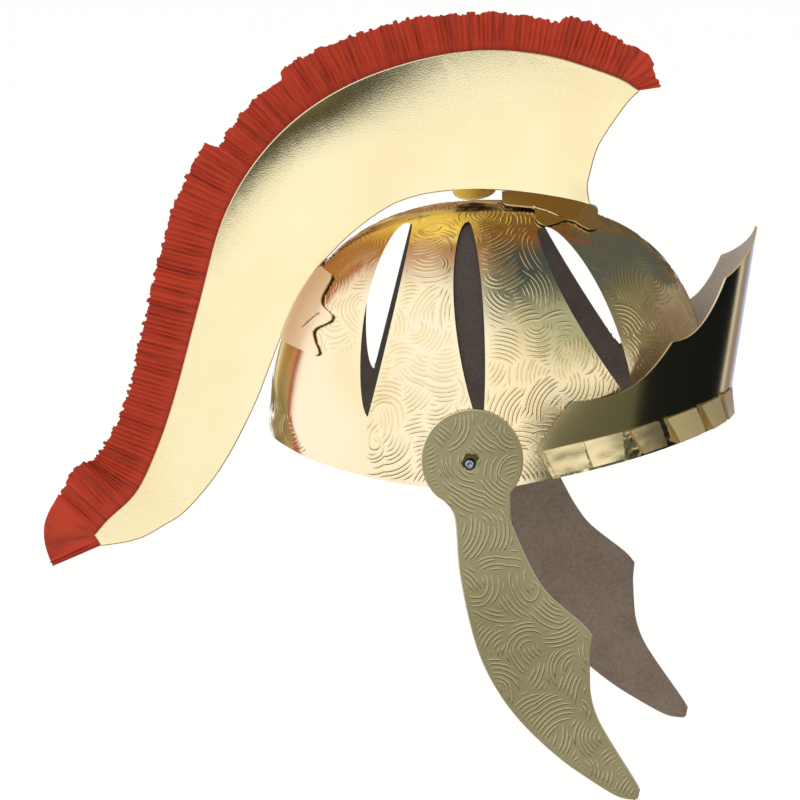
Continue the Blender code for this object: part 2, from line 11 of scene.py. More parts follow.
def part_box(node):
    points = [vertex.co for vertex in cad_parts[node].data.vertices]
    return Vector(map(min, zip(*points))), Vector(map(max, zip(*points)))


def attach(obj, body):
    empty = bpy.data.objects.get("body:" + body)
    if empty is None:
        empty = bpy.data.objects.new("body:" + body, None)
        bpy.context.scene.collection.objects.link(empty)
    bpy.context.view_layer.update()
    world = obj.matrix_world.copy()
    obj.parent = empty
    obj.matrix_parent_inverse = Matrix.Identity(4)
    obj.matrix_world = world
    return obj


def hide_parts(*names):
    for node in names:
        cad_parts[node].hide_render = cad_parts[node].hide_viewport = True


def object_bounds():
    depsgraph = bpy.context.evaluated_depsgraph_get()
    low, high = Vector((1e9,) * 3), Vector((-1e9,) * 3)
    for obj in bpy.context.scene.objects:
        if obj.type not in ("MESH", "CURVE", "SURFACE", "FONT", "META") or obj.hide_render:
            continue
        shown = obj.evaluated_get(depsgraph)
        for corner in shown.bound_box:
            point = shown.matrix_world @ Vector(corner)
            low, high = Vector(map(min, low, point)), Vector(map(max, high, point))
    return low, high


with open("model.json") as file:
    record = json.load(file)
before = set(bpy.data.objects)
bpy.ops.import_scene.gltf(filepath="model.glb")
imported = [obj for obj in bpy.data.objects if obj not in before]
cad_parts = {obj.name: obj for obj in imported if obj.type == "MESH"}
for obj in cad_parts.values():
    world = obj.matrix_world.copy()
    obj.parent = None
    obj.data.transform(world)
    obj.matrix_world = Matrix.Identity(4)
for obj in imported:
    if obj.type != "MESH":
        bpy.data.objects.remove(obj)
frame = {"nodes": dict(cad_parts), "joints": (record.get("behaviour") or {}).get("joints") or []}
cad_low, cad_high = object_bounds()

# Studio: the helmet hangs in the air over a wide pale floor, as if a head held it, and the
# camera stands almost square to its right side, a little above it and far away.
AIM = Vector((-0.0433, 0.0, 0.0296))
CAMERA_TURN = radians(1.0)
CAMERA_RISE = radians(9.6)
CAMERA_REACH = 4.0
LENS_MM = 363.6
FLOOR_DROP = 0.45
FLOOR_HALF = 14.0
FLOOR_COLOUR = (0.93, 0.93, 0.92)
BACKDROP = (1.03, 1.03, 1.03)
SKY_STRENGTH = 0.80
ROOM_PALE = (1.06, 1.08, 1.14)
ROOM_HAZE = (0.42, 0.47, 0.40)
ROOM_AMBER = (0.42, 0.205, 0.105)
ROOM_GOLD = (1.05, 0.96, 0.42)
ROOM_BLUE = (0.045, 0.070, 0.090)
ROOM_DUSK = (0.17, 0.105, 0.045)
ROOM_SLATE = (0.085, 0.105, 0.115)
ROOM_OLIVE = (0.21, 0.19, 0.12)
ROOM_DIM = (0.115, 0.125, 0.10)
ROOM_DARK = (0.004, 0.007, 0.011)
ROOM_BACK = (0.22, 0.22, 0.16)
ROOM_BROWN = (0.30, 0.25, 0.25)
ROOM_COOL = (0.50, 0.60, 0.95)
ROOM_FLOOR = (0.055, 0.058, 0.040)
ROOM_UNDER = (0.34, 0.26, 0.14)
SECOND_BOUNCE = (2.2, 2.8)
KEY_STRENGTH = 1.1
KEY_TURN = radians(-35)
KEY_RISE = radians(52)
KEY_SPREAD = radians(40)


class Thread:
    """One value in a node tree: sums and products of threads become Math nodes."""

    def __init__(self, tree, socket=None):
        self.tree = tree
        self.socket = socket

    def node(self, kind, settings=None, sockets=None, out=0):
        """A node with its settings made first, then its sockets given values or links."""
        made = self.tree.nodes.new(kind)
        for name, value in (settings or {}).items():
            if name == "stops":
                while len(made.color_ramp.elements) < len(value):
                    made.color_ramp.elements.new(1.0)
                for element, (place, colour) in zip(made.color_ramp.elements, value):
                    element.position = place
                    element.color = (*colour, 1.0)
            else:
                setattr(made, name, value)
        for name, value in (sockets or {}).items():
            if isinstance(value, Thread):
                self.tree.links.new(value.socket, made.inputs[name])
            elif isinstance(value, tuple) and made.inputs[name].type == "RGBA":
                made.inputs[name].default_value = (*value, 1.0)
            else:
                made.inputs[name].default_value = value
        return Thread(self.tree, made.outputs[out]) if made.outputs else None

    def maths(self, operation, *values):
        return self.node("ShaderNodeMath", {"operation": operation}, dict(enumerate(values)))

    def __add__(self, other):
        return self.maths("ADD", self, other)

    def __sub__(self, other):
        return self.maths("SUBTRACT", self, other)

    def __rsub__(self, other):
        return self.maths("SUBTRACT", other, self)

    def __mul__(self, other):
        return self.maths("MULTIPLY", self, other)

    __radd__ = __add__
    __rmul__ = __mul__

    def ease(self, low, high):
        """0 below low, 1 above high and smooth between them."""
        return self.node("ShaderNodeMapRange", {"interpolation_type": "SMOOTHSTEP"},
                         {"Value": self, "From Min": low, "From Max": high})

    def blend(self, first, second):
        """From the first colour to the second as this thread goes from 0 to 1."""
        return self.node("ShaderNodeMix", {"data_type": "RGBA"}, {0: self, 6: first, 7: second},
                         out=2)


def light_the_room():
    """A plain backdrop for the eye and for matt faces, and a room that only foil mirrors.

    The room is pale, with soft zones laid over each other in the order of the table: an amber
    and gold roof that is blue black to the front, an olive front wall, dim and black panels low
    in front, a dark floor, and brown and pale blue on the far side. A foil that shows in another
    foil mirrors the far side's half of the room, as if it faced that way.
    """
    room = bpy.data.worlds.new("studio_room")
    room.use_nodes = True
    room.node_tree.nodes.clear()
    thread = Thread(room.node_tree)
    way = thread.node("ShaderNodeTexCoord", out="Generated")
    x, y, z = (thread.node("ShaderNodeSeparateXYZ", None, {0: way}, axis) for axis in "XYZ")
    twice = thread.node("ShaderNodeLightPath", out="Ray Depth").ease(*SECOND_BOUNCE)
    y = y + twice * (y.maths("ABSOLUTE", y) - y)
    low = 1 - z.ease(0, 0.14)
    high = z.ease(0.12, 0.34)
    away = z.ease(-0.05, 0.05)
    parts = (
        ((x * 0.6 + z * 0.8).ease(0.35, 0.72) * (x + 0.5).ease(0.0, 0.5), ROOM_HAZE),
        ((z + y * 0.45).ease(0.55, 1.10), ROOM_AMBER),
        (y.ease(0.30, 0.65) * away, ROOM_AMBER),
        (x.ease(-0.42, -0.22) * y.ease(0.15, 0.40) * z.ease(0.28, 0.42), ROOM_GOLD),
        (x.ease(-0.05, 0.10) * (z - y * 0.1).ease(0.66, 0.95), ROOM_BLUE),
        (x.ease(-0.12, -0.01) * y.ease(0.00, 0.25) * away, ROOM_DUSK),
        (x.ease(0.22, 0.42) * (y + 0.55).ease(0.0, 0.3) * high, ROOM_SLATE),
        (x.ease(0.62, 0.84), ROOM_OLIVE),
        ((0 - y).ease(0.28, 0.46) * x.ease(0.45, 0.60) * z.ease(-0.16, -0.07)
         * (1 - z.ease(0.20, 0.38)), ROOM_PALE),
        (x.ease(0.26, 0.40) * low * (1 - y.ease(0.00, 0.30)), ROOM_DIM),
        ((0 - x).ease(0.40, 0.65) * y.ease(0.35, 0.60) * (1 - away), ROOM_BACK),
        ((0 - z).ease(0.21, 0.36) * (1 - y.ease(0.0, 0.5)), ROOM_FLOOR),
        ((0 - z).ease(0.42, 0.60), ROOM_UNDER),
        ((x + y * 0.12).ease(0.74, 0.81) * low, ROOM_DARK),
        (x.ease(-0.2, 0.0) * y.ease(0.67, 0.78) * (1 - away), ROOM_BROWN),
        (x.ease(-0.2, 0.0) * y.ease(0.86, 0.95) * (1 - away), ROOM_COOL),
    )
    colour = ROOM_PALE
    for amount, part in parts:
        colour = amount.blend(colour, part)
    mirrored = thread.node("ShaderNodeLightPath", out="Is Glossy Ray")
    colour = mirrored.blend(BACKDROP, colour)
    seen = thread.node("ShaderNodeLightPath", out="Is Diffuse Ray")
    light = thread.node("ShaderNodeBackground", None,
                        {"Color": colour, "Strength": 1.0 - seen * (1.0 - SKY_STRENGTH)})
    thread.node("ShaderNodeOutputWorld", None, {"Surface": light})
    bpy.context.scene.world = room


def hang_the_key_light():
    """One wide soft lamp up to the left behind the camera, for the matt pieces alone."""
    lamp = bpy.data.lights.new("key_light", "SUN")
    lamp.energy = KEY_STRENGTH
    lamp.angle = KEY_SPREAD
    key = bpy.data.objects.new("key_light", lamp)
    way = Vector((sin(KEY_TURN) * cos(KEY_RISE), -cos(KEY_TURN) * cos(KEY_RISE), sin(KEY_RISE)))
    key.rotation_euler = way.to_track_quat("Z", "Y").to_euler()
    key.visible_glossy = False
    bpy.context.collection.objects.link(key)


def set_the_camera():
    """A long lens far away, as the picture is nearly without perspective."""
    back = Vector((sin(CAMERA_TURN) * cos(CAMERA_RISE), -cos(CAMERA_TURN) * cos(CAMERA_RISE),
                   sin(CAMERA_RISE)))
    camera = bpy.data.objects.new("camera", bpy.data.cameras.new("camera"))
    camera.data.lens = LENS_MM
    camera.data.clip_end = 2 * FLOOR_HALF
    camera.location = AIM + back * CAMERA_REACH
    camera.rotation_euler = (-back).to_track_quat("-Z", "Y").to_euler()
    bpy.context.collection.objects.link(camera)
    bpy.context.scene.camera = camera


def lay_the_floor():
    """A plain pale floor; the foil mirrors the room and not the floor."""
    shape = bmesh.new()
    level = cad_low.z - FLOOR_DROP
    corners = [(side * FLOOR_HALF, end * FLOOR_HALF, level)
               for side, end in ((-1, -1), (1, -1), (1, 1), (-1, 1))]
    shape.faces.new([shape.verts.new(corner) for corner in corners])
    mesh = bpy.data.meshes.new("floor")
    shape.to_mesh(mesh)
    shape.free()
    floor_piece = bpy.data.objects.new("floor", mesh)
    bpy.context.collection.objects.link(floor_piece)
    material = bpy.data.materials.new("pale_floor")
    material.use_nodes = True
    shader = material.node_tree.nodes["Principled BSDF"]
    shader.inputs["Base Color"].default_value = (*FLOOR_COLOUR, 1.0)
    shader.inputs["Roughness"].default_value = 0.9
    mesh.materials.append(material)
    floor_piece.visible_glossy = False


light_the_room()
hang_the_key_light()
set_the_camera()
lay_the_floor()
bpy.context.scene.view_settings.view_transform = "Standard"


# Crown: a dome of card faced with embossed gold foil outside and raw inside, joined down the
# back of each side, with three long slots cut on each side of it and a crease over the nape.
CARD = 0.001
PROBE = 0.0004
DOME_FRONT = 0.111
DOME_BACK = 0.1095
DOME_HALF_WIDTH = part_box("crown")[1].y
DOME_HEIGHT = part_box("crown")[1].z
FRONT_SQUARENESS = 2.85
BACK_SQUARENESS = 2.42
SIDE_SQUARENESS = 2.5
RIM_FRONT_RISE = 0.024
RIM_BACK_RISE = 0.015
RIM_BROW_CURVE = 1.2
DOME_COLUMNS = 240
DOME_ROWS = 56
DOME_CAP = 0.997
JOINT_TURN = radians(123)
JOINT_STEP = 0.0005
JOINT_TOP = 0.034
JOINT_FADE = 0.004
JOINT_SPREAD = radians(9)
JOINT_HALF_GAP = radians(0.18)
JOINT_CLEAR = radians(0.6)
JOINT_SLOPE = 0.3
NAPE_CREASE_TOP = 0.047
NAPE_CREASE_TURN = radians(46)
NAPE_CREASE_BOW = 1.75
NAPE_CREASE_END = 1.5
NAPE_TUCK = 0.0011
NAPE_TUCK_RUN = 0.020
PROBES = (Vector((PROBE, 0, 0)), Vector((0, PROBE, 0)), Vector((0, 0, PROBE)))
SLOTS = (
    {"name": "back", "top": (-0.335, 0.945), "low": (-0.523, 0.262),
     "bow_back": 0.1206, "bow_front": 0.0045},
    {"name": "middle", "top": (-0.086, 0.965), "low": (-0.021, 0.245),
     "bow_back": 0.0834, "bow_front": 0.0454},
    {"name": "front", "top": (0.224, 0.941), "low": (0.633, 0.324),
     "bow_back": 0.0327, "bow_front": 0.1188},
)
SLOT_FULLNESS = 0.43
SLOT_TOP_HEAVINESS = 1.4
SLOT_STEPS = 24
SLOT_REACH = (0.10, 1.2)
PIVOTS = {side: frame["joints"][i]["pos_m"] for i, side in enumerate(("right", "left"))}
SIDES = {"right": -1, "left": 1}
RIVET_HOLE = 0.0018
RIVET_HOLE_SIDES = 20
RIVET_HOLE_DEPTH = 0.8

FOIL_COLOUR = (0.98, 0.84, 0.56)
FOIL_SHADE = (0.95, 0.76, 0.42)
FOIL_ROUGHNESS = 0.15
# The crown's raised lines wear a darker copy of its foil: painted shade along the lines.
PAINTED_SHADE_RIDGE = (0.90, 0.74, 0.42)
PAINTED_SHADE_RIDGE_MOTTLE = (0.84, 0.64, 0.33)
# Raw card of the crown's inside and of the boards' and tabs' backs: far darker than the visor's raw
# card, as painted shade for the shadowed inside.
CARD_PAINTED_SHADE_COLOUR = (0.095, 0.070, 0.057)
CARD_PAINTED_SHADE_PALE = (0.15, 0.116, 0.095)
EDGE_COLOUR = (0.93, 0.84, 0.58)
EDGE_SHADE = (0.80, 0.68, 0.40)


def squareness(turn):
    """The dome's superellipse exponent: one for the front, one for the back, one for the sides."""
    end = FRONT_SQUARENESS if cos(turn) > 0 else BACK_SQUARENESS
    return end * cos(turn) ** 2 + SIDE_SQUARENESS * sin(turn) ** 2


def dome_size(point):
    """1 on the dome, less inside it and more outside."""
    length = DOME_FRONT if point.x > 0 else DOME_BACK
    power = squareness(atan2(point.y / DOME_HALF_WIDTH, point.x / length))
    ring = hypot(point.x / length, point.y / DOME_HALF_WIDTH)
    return (ring ** power + (max(point.z, 0) / DOME_HEIGHT) ** power) ** (1 / power)


def dome_facing(point):
    """The way straight out of the dome at a point."""
    slope = [dome_size(point + axis) - dome_size(point - axis) for axis in PROBES]
    return Vector(slope).normalized()


def onto_dome(point, out=0.0):
    """A point brought onto the dome, then moved straight out of it."""
    found = point / dome_size(point)
    return found + dome_facing(found) * out


def dome_at(turn, lift):
    """A point of the dome from its turn about Z and its lift from the rim's level."""
    power = 2 / squareness(turn)
    ring = max(cos(lift), 0) ** power
    length = DOME_FRONT if cos(turn) > 0 else DOME_BACK
    return Vector((length * ring * cos(turn), DOME_HALF_WIDTH * ring * sin(turn),
                   DOME_HEIGHT * max(sin(lift), 0) ** power))


def rim_height(turn):
    """Height of the crown's lower edge: it rises at the brow and a little at the nape."""
    if cos(turn) > 0:
        return RIM_FRONT_RISE * cos(turn) ** RIM_BROW_CURVE
    return RIM_BACK_RISE * cos(turn) ** 2


def foil(name, colour, shade, roughness, mottle, mottle_scale):
    """Gold foil on card: mirror bright, a little uneven in tone, with a fine leathery grain."""
    material = bpy.data.materials.new(name)
    material.use_nodes = True
    tree = material.node_tree
    shader = tree.nodes["Principled BSDF"]
    thread = Thread(tree)
    place = thread.node("ShaderNodeTexCoord", out="Object")
    cloud = thread.node("ShaderNodeTexNoise", None,
                        {"Vector": place, "Scale": 14.0, "Detail": 2.0})
    tone = cloud.ease(0.35, 0.75).blend(colour, shade)
    grain = thread.node("ShaderNodeTexNoise", None,
                        {"Vector": place, "Scale": mottle_scale, "Detail": 3.0,
                         "Roughness": 0.6})
    bump = thread.node("ShaderNodeBump", None,
                       {"Strength": 1.0, "Distance": mottle, "Height": grain})
    tree.links.new(tone.socket, shader.inputs["Base Color"])
    tree.links.new((cloud * 0.10 + roughness - 0.05).socket, shader.inputs["Roughness"])
    tree.links.new(bump.socket, shader.inputs["Normal"])
    shader.inputs["Metallic"].default_value = 1.0
    return material


def rubbed_foil(name, colour, shade, roughness, mottle, mottle_scale, metallic):
    """Foil that has lost some of its metal, so it mirrors less."""
    material = foil(name, colour, shade, roughness, mottle, mottle_scale)
    material.node_tree.nodes["Principled BSDF"].inputs["Metallic"].default_value = metallic
    return material


def raw_card(name, colour, pale):
    """Grey-brown board with short pale and dark fibres."""
    material = bpy.data.materials.new(name)
    material.use_nodes = True
    tree = material.node_tree
    shader = tree.nodes["Principled BSDF"]
    thread = Thread(tree)
    place = thread.node("ShaderNodeTexCoord", out="Object")
    fibres = thread.node("ShaderNodeTexNoise", None,
                         {"Vector": place, "Scale": 900.0, "Detail": 4.0, "Roughness": 0.65})
    patches = thread.node("ShaderNodeTexNoise", None,
                          {"Vector": place, "Scale": 60.0, "Detail": 2.0})
    tone = (fibres * 0.7 + patches * 0.3).ease(0.32, 0.68).blend(colour, pale)
    bump = thread.node("ShaderNodeBump", None,
                       {"Strength": 0.6, "Distance": 0.0002, "Height": fibres})
    tree.links.new(tone.socket, shader.inputs["Base Color"])
    tree.links.new(bump.socket, shader.inputs["Normal"])
    shader.inputs["Roughness"].default_value = 0.85
    return material


def add_piece(name, mesh, *materials):
    """An object of this mesh in the scene, wearing these materials."""
    piece = bpy.data.objects.new(name, mesh)
    bpy.context.collection.objects.link(piece)
    for material in materials:
        mesh.materials.append(material)
    return piece


def keep_evaluated(piece):
    """The piece with its modifiers made part of its mesh."""
    bpy.context.view_layer.update()
    evaluated = piece.evaluated_get(bpy.context.evaluated_depsgraph_get())
    mesh = bpy.data.meshes.new_from_object(evaluated)
    piece.modifiers.clear()
    piece.data = mesh
    return piece


def slot_outline(slot):
    """A lens between two ends, blunter at its top, its edges bowed by different amounts."""
    half_length = (DOME_FRONT + DOME_BACK) / 2
    top = Vector((slot["top"][0] * half_length, slot["top"][1] * DOME_HEIGHT))
    low = Vector((slot["low"][0] * half_length, slot["low"][1] * DOME_HEIGHT))
    along = top - low
    forward = Vector((along.y, -along.x)).normalized()
    outline = []
    for bow, order in ((slot["bow_front"], range(SLOT_STEPS)),
                       (-slot["bow_back"], range(SLOT_STEPS, 0, -1))):
        for step in order:
            share = (1 - cos(pi * step / SLOT_STEPS)) / 2
            fullness = max(sin(pi * share ** SLOT_TOP_HEAVINESS), 0) ** SLOT_FULLNESS
            outline.append(low + along * share + forward * bow * half_length * fullness)
    return outline


def prism(shape, outline, near, far, finish):
    """A closed block with this outline in X and Z between two values of Y."""
    rings = [[shape.verts.new((x, y, z)) for x, z in outline] for y in (near, far)]
    faces = [shape.faces.new(rings[0]), shape.faces.new(rings[1])]
    for i in range(len(outline)):
        j = (i + 1) % len(outline)
        faces.append(shape.faces.new((rings[0][i], rings[0][j], rings[1][j], rings[1][i])))
    for face in faces:
        face.material_index = finish


def cut_tool(name):
    """All the slots and rivet holes of the dome as one tool."""
    shape = bmesh.new()
    for side_name, side in SIDES.items():
        near, far = (side * share * DOME_HALF_WIDTH for share in SLOT_REACH)
        for slot in SLOTS:
            prism(shape, slot_outline(slot), near, far, 2)
        x, _, z = PIVOTS[side_name]
        turns = [2 * pi * i / RIVET_HOLE_SIDES for i in range(RIVET_HOLE_SIDES)]
        hole = [(x + RIVET_HOLE * cos(turn), z + RIVET_HOLE * sin(turn)) for turn in turns]
        prism(shape, hole, side * RIVET_HOLE_DEPTH * DOME_HALF_WIDTH, far, 2)
    bmesh.ops.recalc_face_normals(shape, faces=shape.faces)
    mesh = bpy.data.meshes.new(name)
    shape.to_mesh(mesh)
    shape.free()
    return add_piece(name, mesh)


def dome_turns():
    """Even turns round the dome, with a close pair on each side where the card overlaps."""
    turns = [2 * pi * i / DOME_COLUMNS for i in range(DOME_COLUMNS)]
    for joint in (JOINT_TURN, 2 * pi - JOINT_TURN):
        turns = [turn for turn in turns if abs(turn - joint) > JOINT_CLEAR]
        turns += [joint - JOINT_HALF_GAP, joint + JOINT_HALF_GAP]
    return sorted(turns)


def from_rows(rows, place):
    """Straight interpolation in rows of (place, value)."""
    for (low, low_value), (high, high_value) in zip(rows, rows[1:]):
        if place <= high:
            return low_value + (high_value - low_value) * max(place - low, 0) / (high - low)
    return rows[-1][1]


def nape_crease(turn):
    """Height of the crease over the nape at a turn of the dome."""
    share = min((pi - abs(turn)) / NAPE_CREASE_TURN, NAPE_CREASE_END)
    return NAPE_CREASE_TOP * (1 - share ** NAPE_CREASE_BOW)


def foil_out(turn, height):
    """How far the card stands out of the plain dome: its side joints and its nape crease."""
    away = abs((turn + pi) % (2 * pi) - pi)
    out = 0.0
    if away < JOINT_TURN and height < JOINT_TOP:
        near = exp(-((JOINT_TURN - away) / JOINT_SPREAD) ** 2)
        out = JOINT_STEP * near * min(1.0, (JOINT_TOP - height) / JOINT_FADE)
    under = nape_crease(away) - height
    share = min(max(under / NAPE_TUCK_RUN, 0), 1)
    return out - NAPE_TUCK * share * share * (3 - 2 * share)


def foil_facing(point):
    """The way the card faces near a point of the dome."""
    outward = dome_facing(point)

    def out(spot):
        return foil_out(atan2(spot.y / DOME_HALF_WIDTH, spot.x / DOME_BACK), spot.z)

    slope = Vector([(out(point + axis) - out(point - axis)) / (2 * PROBE) for axis in PROBES])
    if slope.length > JOINT_SLOPE:
        return outward
    return (outward - slope + outward * slope.dot(outward)).normalized()


def make_crown():
    """Two faces of a dome joined along the rim, with the slots and rivet holes cut."""
    turns = dome_turns()
    shape = bmesh.new()
    grids = []
    for inward in (0, CARD):
        grid = []
        for row in range(DOME_ROWS + 1):
            ring = []
            for turn in turns:
                first = asin((rim_height(turn) / DOME_HEIGHT) ** (squareness(turn) / 2))
                lift = first + (pi / 2 - first) * min(row / DOME_ROWS, DOME_CAP)
                spot = dome_at(turn, lift)
                out = foil_out(turn, spot.z) - inward
                ring.append(shape.verts.new(spot + dome_facing(spot) * out))
            grid.append(ring)
        grids.append(grid)
    count = len(turns)
    for finish, grid in enumerate(grids):
        for row, above in zip(grid, grid[1:]):
            for i in range(count):
                j = (i + 1) % count
                shape.faces.new((row[i], row[j], above[j], above[i])).material_index = finish
        top = shape.verts.new((0, 0, DOME_HEIGHT - finish * CARD))
        for i in range(count):
            shape.faces.new((grid[-1][i], grid[-1][(i + 1) % count], top)).material_index = finish
    outer, inner = grids[0][0], grids[1][0]
    for i in range(count):
        j = (i + 1) % count
        shape.faces.new((outer[i], outer[j], inner[j], inner[i])).material_index = 2
    bmesh.ops.recalc_face_normals(shape, faces=shape.faces)
    mesh = bpy.data.meshes.new("crown_foil")
    shape.to_mesh(mesh)
    shape.free()
    crown = add_piece("crown_foil", mesh, embossed_foil, card_inside_painted_shade, card_edge)
    tool = cut_tool("crown_slots")
    tool.hide_render = True
    cut = crown.modifiers.new("slots", "BOOLEAN")
    cut.object = tool
    keep_evaluated(crown)
    bpy.data.objects.remove(tool)
    round_off(crown)
    return crown


def round_off(crown):
    """Smooth light over the dome's two faces, in spite of the long faces beside each cut."""
    mesh = crown.data
    mesh.shade_smooth()
    facings = {}
    normals = []
    for face in mesh.polygons:
        for index in face.vertices:
            if face.material_index == 2:
                normals.append(face.normal)
                continue
            if index not in facings:
                facings[index] = foil_facing(mesh.vertices[index].co)
            outward = facings[index]
            normals.append(outward if face.material_index == 0 else -outward)
    mesh.normals_split_custom_set(normals)


def inside_loop(loop, x, z):
    """Whether a closed line goes round this place."""
    found = False
    for a, b in zip(loop, loop[1:] + loop[:1]):
        if (a.y > z) != (b.y > z) and x < a.x + (b.x - a.x) * (z - a.y) / (b.y - a.y):
            found = not found
    return found


# The crown's embossing: low raised lines in arcs round whorls, worn away low behind the joint.
SWIRL_PITCH = 0.0021
SWIRL_STEP = 0.0010
SWIRL_WHORL = 0.0145
SWIRL_HUB = (0.50, 1.60)
SWIRL_SPACING = 0.8
SWIRL_HEARTS = 4000
SWIRL_WANDER = 0.0060
SWIRL_SWAY = 95
SWIRL_LONGEST = 26
SWIRL_SHORTEST = 4
SWIRL_APART = 0.95
SWIRL_MEET = 0.62
SWIRL_BREAK = 0.7
SWIRL_TAPER = 3
SWIRL_TIP = 0.18
SWIRL_WIDTH = 0.00150
SWIRL_HEIGHT = 0.00024
SWIRL_SLOT_MARGIN = 0.0012
WORN_TOP = 0.066
WORN_RAGGED = 0.008
WORN_RAGGED_SCALE = 40
CREASE_PLAIN = (-0.002, 0.003)
EDGE_PLAIN = 0.0012
JOINT_PLAIN = radians(0.7)
RIVET_PLAIN = 0.004
CROWN_STARTS = 20000


def deal_whorls(starts, settle):
    """Hearts of whorls spread over the foil; each one's lines run round a hub beside it."""
    deal = random.Random(23)
    hearts, hubs = [], []
    for start in starts[:SWIRL_HEARTS]:
        heart, facing = settle(start)
        if any((heart - other).length < SWIRL_WHORL * SWIRL_SPACING for other in hearts):
            continue
        aside = facing.orthogonal().normalized()
        turn = deal.uniform(0, 2 * pi)
        aside = aside * cos(turn) + facing.cross(aside) * sin(turn)
        hearts.append(heart)
        hubs.append(heart + aside * SWIRL_WHORL * deal.uniform(*SWIRL_HUB))
    tree = kdtree.KDTree(len(hearts))
    for i, heart in enumerate(hearts):
        tree.insert(heart, i)
    tree.balance()
    return tree, hubs


def swirl_way(spot, facing, whorls):
    """A way along the foil, round the hub of the whorl that the spot belongs to."""
    tree, hubs = whorls
    place = spot * SWIRL_SWAY
    sway = Vector([noise.noise(place + Vector((0, 0, shift))) for shift in (0, 40, 80)])
    _, index, _ = tree.find(spot + sway * SWIRL_WANDER)
    way = facing.cross(spot - hubs[index])
    return way.normalized() if way.length > SWIRL_PITCH else None


def swirl_cell(spot):
    """The box of a coarse grid that a spot lies in."""
    return tuple(round(value / SWIRL_PITCH) for value in spot)


def swirl_crowded(taken, spot, own, room):
    """Whether another line, or this line's own far part, runs within this room of the spot."""
    middle = swirl_cell(spot)
    for dx in (-1, 0, 1):
        for dy in (-1, 0, 1):
            for dz in (-1, 0, 1):
                cell = (middle[0] + dx, middle[1] + dy, middle[2] + dz)
                if any((other - spot).length < room for other in taken.get(cell, ())):
                    return True
    return any((other - spot).length < room for other in own[:-6])


def trace_swirls(starts, settle, allowed):
    """Evenly spaced lines round the whorls, each a list of spots and facings.

    settle brings a spot onto the foil and gives its facing; allowed keeps out of cuts.
    """
    whorls = deal_whorls(starts, settle)
    taken = {}
    lines = []
    waiting = starts[::-1]
    while waiting:
        start, start_facing = settle(waiting.pop())
        if not allowed(start) or swirl_crowded(taken, start, [], SWIRL_PITCH * SWIRL_APART):
            continue
        halves = []
        for sense in (1, -1):
            line = [(start, start_facing)]
            before = None
            while len(line) < SWIRL_LONGEST:
                spot, facing = line[-1]
                way = swirl_way(spot, facing, whorls)
                if not way or (before and way.dot(before) < SWIRL_BREAK):
                    break
                ahead, turned = settle(spot + way * SWIRL_STEP * sense)
                own = [other for other, _ in line]
                if not allowed(ahead) or swirl_crowded(taken, ahead, own, SWIRL_PITCH * SWIRL_MEET):
                    break
                line.append((ahead, turned))
                before = way
            halves.append(line)
        line = halves[1][:0:-1] + halves[0]
        if len(line) < SWIRL_SHORTEST:
            continue
        lines.append(line)
        for i, (spot, facing) in enumerate(line):
            taken.setdefault(swirl_cell(spot), []).append(spot)
            way = swirl_way(spot, facing, whorls) if i % 3 == 0 else None
            if way:
                aside = facing.cross(way) * SWIRL_PITCH
                waiting += [spot + aside, spot - aside]
    return lines


def press_tree():
    """A low arch swept along lines that carry their facing and their girth."""
    tree = bpy.data.node_groups.new("pressed_lines", "GeometryNodeTree")
    inputs = tree.interface
    inputs.new_socket("Lines", in_out="INPUT", socket_type="NodeSocketGeometry")
    for name in ("Width", "Height"):
        inputs.new_socket(name, in_out="INPUT", socket_type="NodeSocketFloat")
    inputs.new_socket("Foil", in_out="INPUT", socket_type="NodeSocketMaterial")
    inputs.new_socket("Pressed", in_out="OUTPUT", socket_type="NodeSocketGeometry")
    thread = Thread(tree)
    lines = thread.node("NodeGroupInput", out="Lines")
    given = {name: Thread(tree, lines.socket.node.outputs[name]) for name in
             ("Width", "Height", "Foil")}
    side = given["Width"] * 0.5
    start, middle, end = (thread.node("ShaderNodeCombineXYZ", None, {"X": rise, "Y": across})
                          for rise, across in ((given["Height"] * -0.3, side * -1.0),
                                               (given["Height"], 0.0),
                                               (given["Height"] * -0.3, side)))
    arch = thread.node("GeometryNodeCurveArc", {"mode": "POINTS"},
                       {"Resolution": 3, "Start": start, "Middle": middle, "End": end})
    facing = thread.node("GeometryNodeInputNamedAttribute", {"data_type": "FLOAT_VECTOR"},
                         {"Name": "facing"})
    girth = thread.node("GeometryNodeInputNamedAttribute", None, {"Name": "girth"})
    curves = thread.node("GeometryNodeMeshToCurve", None, {"Mesh": lines})
    curves = thread.node("GeometryNodeSetCurveNormal", {"mode": "FREE"},
                         {"Curve": curves, "Normal": facing})
    pressed = thread.node("GeometryNodeCurveToMesh", None,
                          {"Curve": curves, "Profile Curve": arch, "Scale": girth})
    pressed = thread.node("GeometryNodeSetShadeSmooth", None, {0: pressed})
    pressed = thread.node("GeometryNodeRealizeInstances", None, {0: pressed})
    pressed = thread.node("GeometryNodeSetMaterial", None,
                          {"Geometry": pressed, "Material": given["Foil"]})
    thread.node("NodeGroupOutput", None, {"Pressed": pressed})
    return tree


